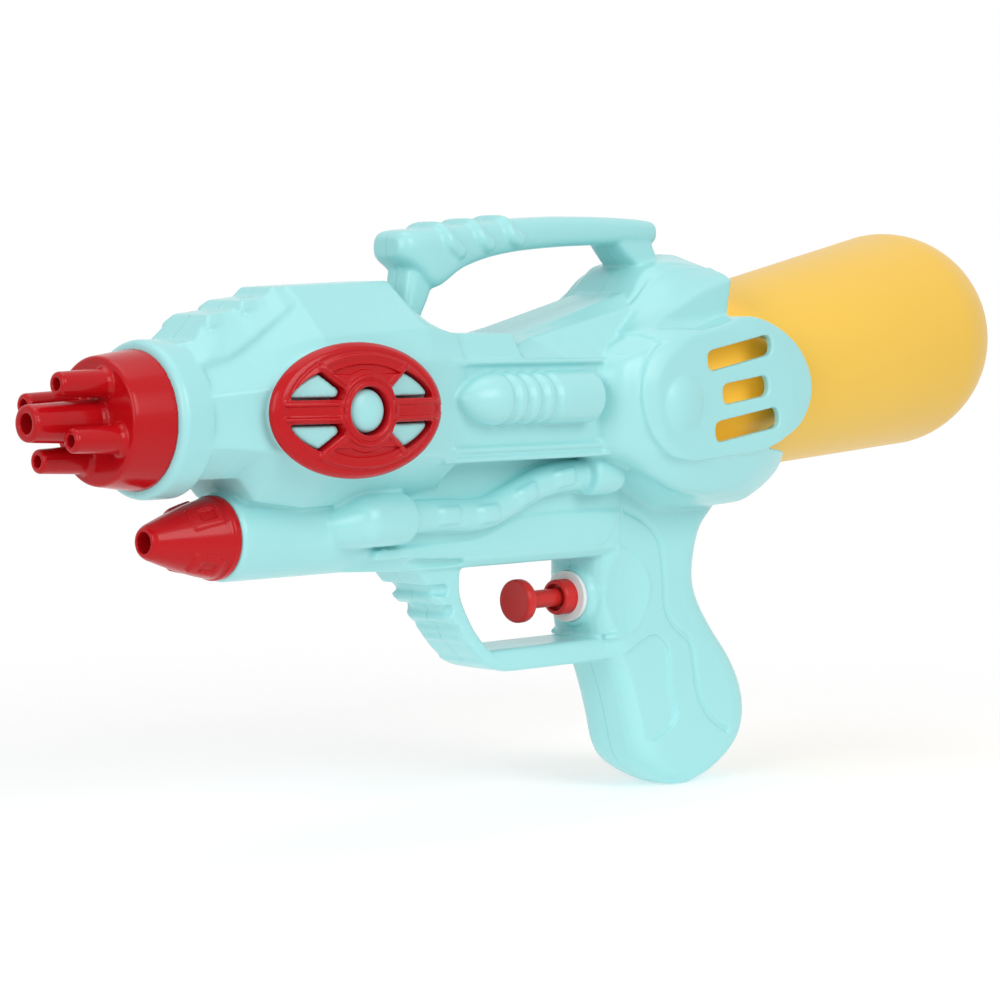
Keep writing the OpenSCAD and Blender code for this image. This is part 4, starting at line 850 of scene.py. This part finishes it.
tankBottle = makeTank()
trigger = {
    "at": (118.7, 0, body["pumpZ"]),
    "button": [(0.45, 0.3), (0.4, 1.5), (0.25, 3.2), (0.05, 4.6), (0, 5), (0.12, 5.3), (0.4, 5.5), (0.8, 5.6),
               (2.2, 5.6), (2.6, 5.5), (2.9, 5.25), (3, 4.9), (3.05, 3.4), (3.3, 3), (3.9, 2.9), (4.3, 2.6),
               (4.6, 2.35)],
    "rod": [(24.3, 2.35), (24.3, 4.2), (25.7, 4.2), (25.8, 4.1), (25.8, 1.3), (29.3, 1.3)],
}
triggerButton = shaded(turned("triggerButton", trigger["button"] + trigger["rod"], trigger["at"], count=72), 35)
glandSize = {
    "at": (133.4, 0, body["pumpZ"]),
    "outside": [(0, 3.9), (0.08, 4.2), (0.4, 4.5), (0.8, 4.6), (9, 4.6), (9.1, 4.4)],
    "bore": [(-1, 3.6), (0.3, 3.55), (2.2, 3.4), (2.3, 2.45), (12, 2.45)],
}
gland = turned("pumpGland", glandSize["outside"], glandSize["at"], count=72)
cut(gland, turned("glandBore", glandSize["bore"], glandSize["at"], count=72))
gland.name = gland.data.name = "pumpGland"
shaded(gland, 35)
print("tank, trigger and gland made")

# Wire springs with closed end coils
spring = {"wire": 0.4, "turns": 7, "steps": 24, "closed": 0.14,
          "returnTravel": 9.5, "returnEnd": 162.1, "outletTravel": 1.1, "outletEnd": 28.8}


def makeSpring(name, node):
    low, high = (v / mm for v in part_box(node))
    r = (high.y - low.y) / 2 - spring["wire"]
    count = spring["turns"] * spring["steps"]
    route = []
    for k in range(count + 1):
        turn = 2 * pi * k / spring["steps"]
        share = min(max((k / count - spring["closed"]) / (1 - 2 * spring["closed"]), 0), 1)
        lead = spring["wire"] * (1 + 2 * min(k / count, spring["closed"]) / spring["closed"])
        tail = spring["wire"] * (1 + 2 * min(1 - k / count, spring["closed"]) / spring["closed"])
        x = low.x + lead + (high.x - tail - low.x - lead) * share
        route.append((x, r * cos(turn), (low.z + high.z) / 2 + r * sin(turn)))
    return shaded(sweep(name, route, spring["wire"], 10, (1, 0, 0)), 60)


returnSpring = makeSpring("returnSpring", "return_spring")
outletSpring = makeSpring("outletSpring", "outlet_spring")
print("springs wound")

pieces = [(leftShell, "left_shell", "body", "mint_plastic"), (rightShell, "right_shell", "body", "mint_plastic"),
          (leftBadge, "left_emblem", "body", "red_plastic"), (rightBadge, "right_emblem", "body", "red_plastic"),
          (muzzle, "muzzle_cluster", "body", "red_plastic"), (nozzle, "water_nozzle", "body", "red_plastic"),
          (tankBottle, "tank", "tank", "orange_plastic"), (triggerButton, "trigger", "trigger", "red_plastic"),
          (gland, "pump_collar", "body", "red_plastic"), (returnSpring, "return_spring", "body", "steel"),
          (outletSpring, "outlet_spring", "body", "steel")]
for obj, node, rider, slot in pieces:
    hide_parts(node)
    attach(obj, rider)
for obj, joint, fixedEnd, travel in ((returnSpring, "trigger_push", spring["returnEnd"], spring["returnTravel"]),
                                     (outletSpring, "outlet_ball_lift", spring["outletEnd"], spring["outletTravel"])):
    long = obj.dimensions.x / mm
    fixedEnd * mm
    1 - travel / long
    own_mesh(obj)


class Net:
    # One node socket, so that a material reads as sums
    def __init__(self, tree, socket):
        self.tree, self.socket = tree, socket

    def node(self, kind, settings=None, **inputs):
        made = self.tree.nodes.new(kind)
        for key, value in (settings or {}).items():
            setattr(made, key, value)
        for key, value in inputs.items():
            byIndex = key[0] == "i" and key[1:].isdigit()
            target = made.inputs[int(key[1:]) if byIndex else key.replace("_", " ")]
            if isinstance(value, Net):
                self.tree.links.new(value.socket, target)
            else:
                target.default_value = value
        return made

    def math(self, operation, *values):
        made = self.node("ShaderNodeMath", {"operation": operation}, **{"i%d" % i: v for i, v in enumerate(values)})
        return Net(self.tree, made.outputs[0])

    def __add__(self, other):
        return self.math("ADD", self, other)

    def __radd__(self, other):
        return self.math("ADD", other, self)

    def __sub__(self, other):
        return self.math("SUBTRACT", self, other)

    def __rsub__(self, other):
        return self.math("SUBTRACT", other, self)

    def ramp(self, low, high):
        made = self.node("ShaderNodeMapRange", {"interpolation_type": "SMOOTHSTEP"}, Value=self, i1=low, i2=high)
        return Net(self.tree, made.outputs[0])

    def distance(self, place):
        made = self.node("ShaderNodeVectorMath", {"operation": "DISTANCE"}, i0=self, i1=place)
        return Net(self.tree, made.outputs["Value"])


def material(name):
    mat = bpy.data.materials.new(name)
    mat.use_nodes = True
    tree = mat.node_tree
    tree.nodes.clear()
    net = Net(tree, None)
    skin = net.node("ShaderNodeBsdfPrincipled")
    net.node("ShaderNodeOutputMaterial", None, Surface=Net(tree, skin.outputs[0]))
    place = Net(tree, net.node("ShaderNodeTexCoord").outputs["Object"])
    return mat, tree, skin, place


def noise(place, scale, detail=2.0):
    made = place.node("ShaderNodeTexNoise", None, Vector=place, Scale=scale, Detail=detail)
    return Net(place.tree, made.outputs[0])


def blend(place, share, a, b):
    made = place.node("ShaderNodeMix", {"data_type": "RGBA"}, i0=share, i6=a, i7=b)
    return Net(place.tree, made.outputs[2])


# Moulded plastic: slow drift of the colour, and a faint texture
def plastic(name, colour, tint, rough, bump=0.02, metal=0.0, shine=0.5):
    mat, tree, skin, place = material(name)
    cloud = noise(place, 14, 3)
    tree.links.new(blend(place, cloud.ramp(0.35, 0.7), (*colour, 1), (*tint, 1)).socket, skin.inputs["Base Color"])
    skin.inputs["Roughness"].default_value = rough
    dent = place.node("ShaderNodeBump", None, Height=noise(place, 660), Strength=bump, Distance=0.0002)
    tree.links.new(dent.outputs[0], skin.inputs["Normal"])
    skin.inputs["Metallic"].default_value = metal
    skin.inputs["Specular IOR Level"].default_value = shine
    return mat


mint = plastic("mint", (0.36, 0.735, 0.745), (0.375, 0.75, 0.76), 0.26, bump=0.0, shine=0.35)
red = plastic("red", (0.48, 0.004, 0.008), (0.51, 0.005, 0.009), 0.18, shine=0.22)
coral = plastic("coral", (0.60, 0.022, 0.020), (0.62, 0.026, 0.023), 0.26, shine=0.25)
amber = plastic("amber", (0.885, 0.55, 0.075), (0.9, 0.565, 0.08), 0.36, shine=0.35)
natural = plastic("natural", (0.80, 0.81, 0.80), (0.77, 0.78, 0.78), 0.45)
hose = plastic("hose", (0.70, 0.76, 0.78), (0.66, 0.73, 0.76), 0.2)
rubber = plastic("rubber", (0.02, 0.02, 0.02), (0.03, 0.03, 0.03), 0.6)
steel = plastic("steel", (0.55, 0.55, 0.57), (0.6, 0.6, 0.62), 0.28, metal=1.0)


# Painted glow: the part of the bottle inside the housing emits amber light, standing in for light carried through the
# thin plastic
amberTree, amberSkin = amber.node_tree, amber.node_tree.nodes["Principled BSDF"]
spot = Net(amberTree, amberTree.nodes["Texture Coordinate"].outputs["Object"])
apart = spot.node("ShaderNodeSeparateXYZ", None, Vector=spot)
# painted glow mask: 1 where the bottle lies inside the housing (X under 0.178 m), fading to 0 by 0.196 m
paintedGlowShare = 1 - Net(amberTree, apart.outputs["X"]).ramp(0.178, 0.196)
amberTree.links.new(blend(spot, paintedGlowShare, (0, 0, 0, 1), (0.5, 0.2, 0.01, 1)).socket, amberSkin.inputs["Emission Color"])
amberSkin.inputs["Emission Strength"].default_value = 0.8


def dress(obj, mat):
    obj.data.materials.clear()
    obj.data.materials.append(mat)


slotLook = {"mint_plastic": mint, "red_plastic": red, "orange_plastic": amber, "white_plastic": natural,
            "clear_hose": hose, "black_rubber": rubber, "steel": steel}
for part in frame["record"]["subparts"]:
    node = bpy.data.objects.get(part["node"])
    if node is not None:
        dress(node, slotLook[part["material_slot"]])
for obj, node, rider, slot in pieces:
    dress(obj, coral if obj in (triggerButton, gland) else slotLook[slot])
print("materials set")

# Camera, floor and light
view = {"target": (113.6, 0, 4.5), "from": (-0.7056, -0.7056, 0.0645), "far": 733, "lens": 104.4, "sensor": 36}
target = Vector(view["target"]) * mm
camData = bpy.data.cameras.new("camera")
camera = bpy.data.objects.new("camera", camData)
bpy.context.scene.collection.objects.link(camera)
camera.location = target + Vector(view["from"]).normalized() * view["far"] * mm
camera.rotation_euler = (target - camera.location).to_track_quat("-Z", "Y").to_euler()
camData.sensor_width = view["sensor"]
camData.lens = view["lens"]
camData.clip_start = 0.01
bpy.context.scene.camera = camera
bpy.context.scene.view_settings.view_transform = "Standard"

# Pale floor that fades into the white behind, so that only the shadow shows
calm()
bpy.ops.mesh.primitive_plane_add(size=3, location=(0.11, 0, cadBox[0][2] - 0.0004))
floor = bpy.context.object
floor.name = "floor"
floorMat, floorTree, floorSkin, floorPlace = material("paper")
floorSkin.inputs["Base Color"].default_value = (0.7, 0.7, 0.7, 1)
floorSkin.inputs["Emission Color"].default_value = (1, 1, 1, 1)
floorSkin.inputs["Emission Strength"].default_value = 0.45
floorSkin.inputs["Roughness"].default_value = 1
floorSkin.inputs["Specular IOR Level"].default_value = 0
clear = floorPlace.node("ShaderNodeBsdfTransparent")
fade = floorPlace.node("ShaderNodeMixShader", None, i0=floorPlace.distance((0, 0, 0)).ramp(0.12, 0.42),
                       i1=Net(floorTree, floorSkin.outputs[0]), i2=Net(floorTree, clear.outputs[0]))
floorTree.links.new(fade.outputs[0], floorTree.nodes["Material Output"].inputs[0])
dress(floor, floorMat)


def lamp(name, place, aim, size, watts):
    data = bpy.data.lights.new(name, "AREA")
    data.size = size
    data.energy = watts
    obj = bpy.data.objects.new(name, data)
    bpy.context.scene.collection.objects.link(obj)
    obj.location = place
    obj.rotation_euler = (Vector(aim) - Vector(place)).to_track_quat("-Z", "Y").to_euler()
    return obj


lamps = [lamp("key", (0.1, -1.25, 0.7), (0.12, 0, 0), 0.8, 8.4),
         lamp("top", (0.1, 0.1, 1.3), (0.1, 0, 0), 1.0, 3.6),
         lamp("fill", (-1.15, -0.35, 0.45), (0.1, 0, 0), 0.8, 7.1)]

world = bpy.data.worlds.new("white")
bpy.context.scene.world = world
world.use_nodes = True
worldTree = world.node_tree
worldTree.nodes.clear()
sky = Net(worldTree, None)
shown = sky.node("ShaderNodeBackground", None, Color=(1, 1, 1, 1))
lit = sky.node("ShaderNodeBackground", None, Color=(1, 1, 1, 1), Strength=0.41)
rays = sky.node("ShaderNodeLightPath")
seen, mirrored, passed = (Net(worldTree, rays.outputs[kind])
                          for kind in ("Is Camera Ray", "Is Glossy Ray", "Is Transmission Ray"))
pick = sky.node("ShaderNodeMixShader", None, i0=seen + mirrored + passed, i1=Net(worldTree, lit.outputs[0]),
                i2=Net(worldTree, shown.outputs[0]))
sky.node("ShaderNodeOutputWorld", None, Surface=Net(worldTree, pick.outputs[0]))
print("stage lit")
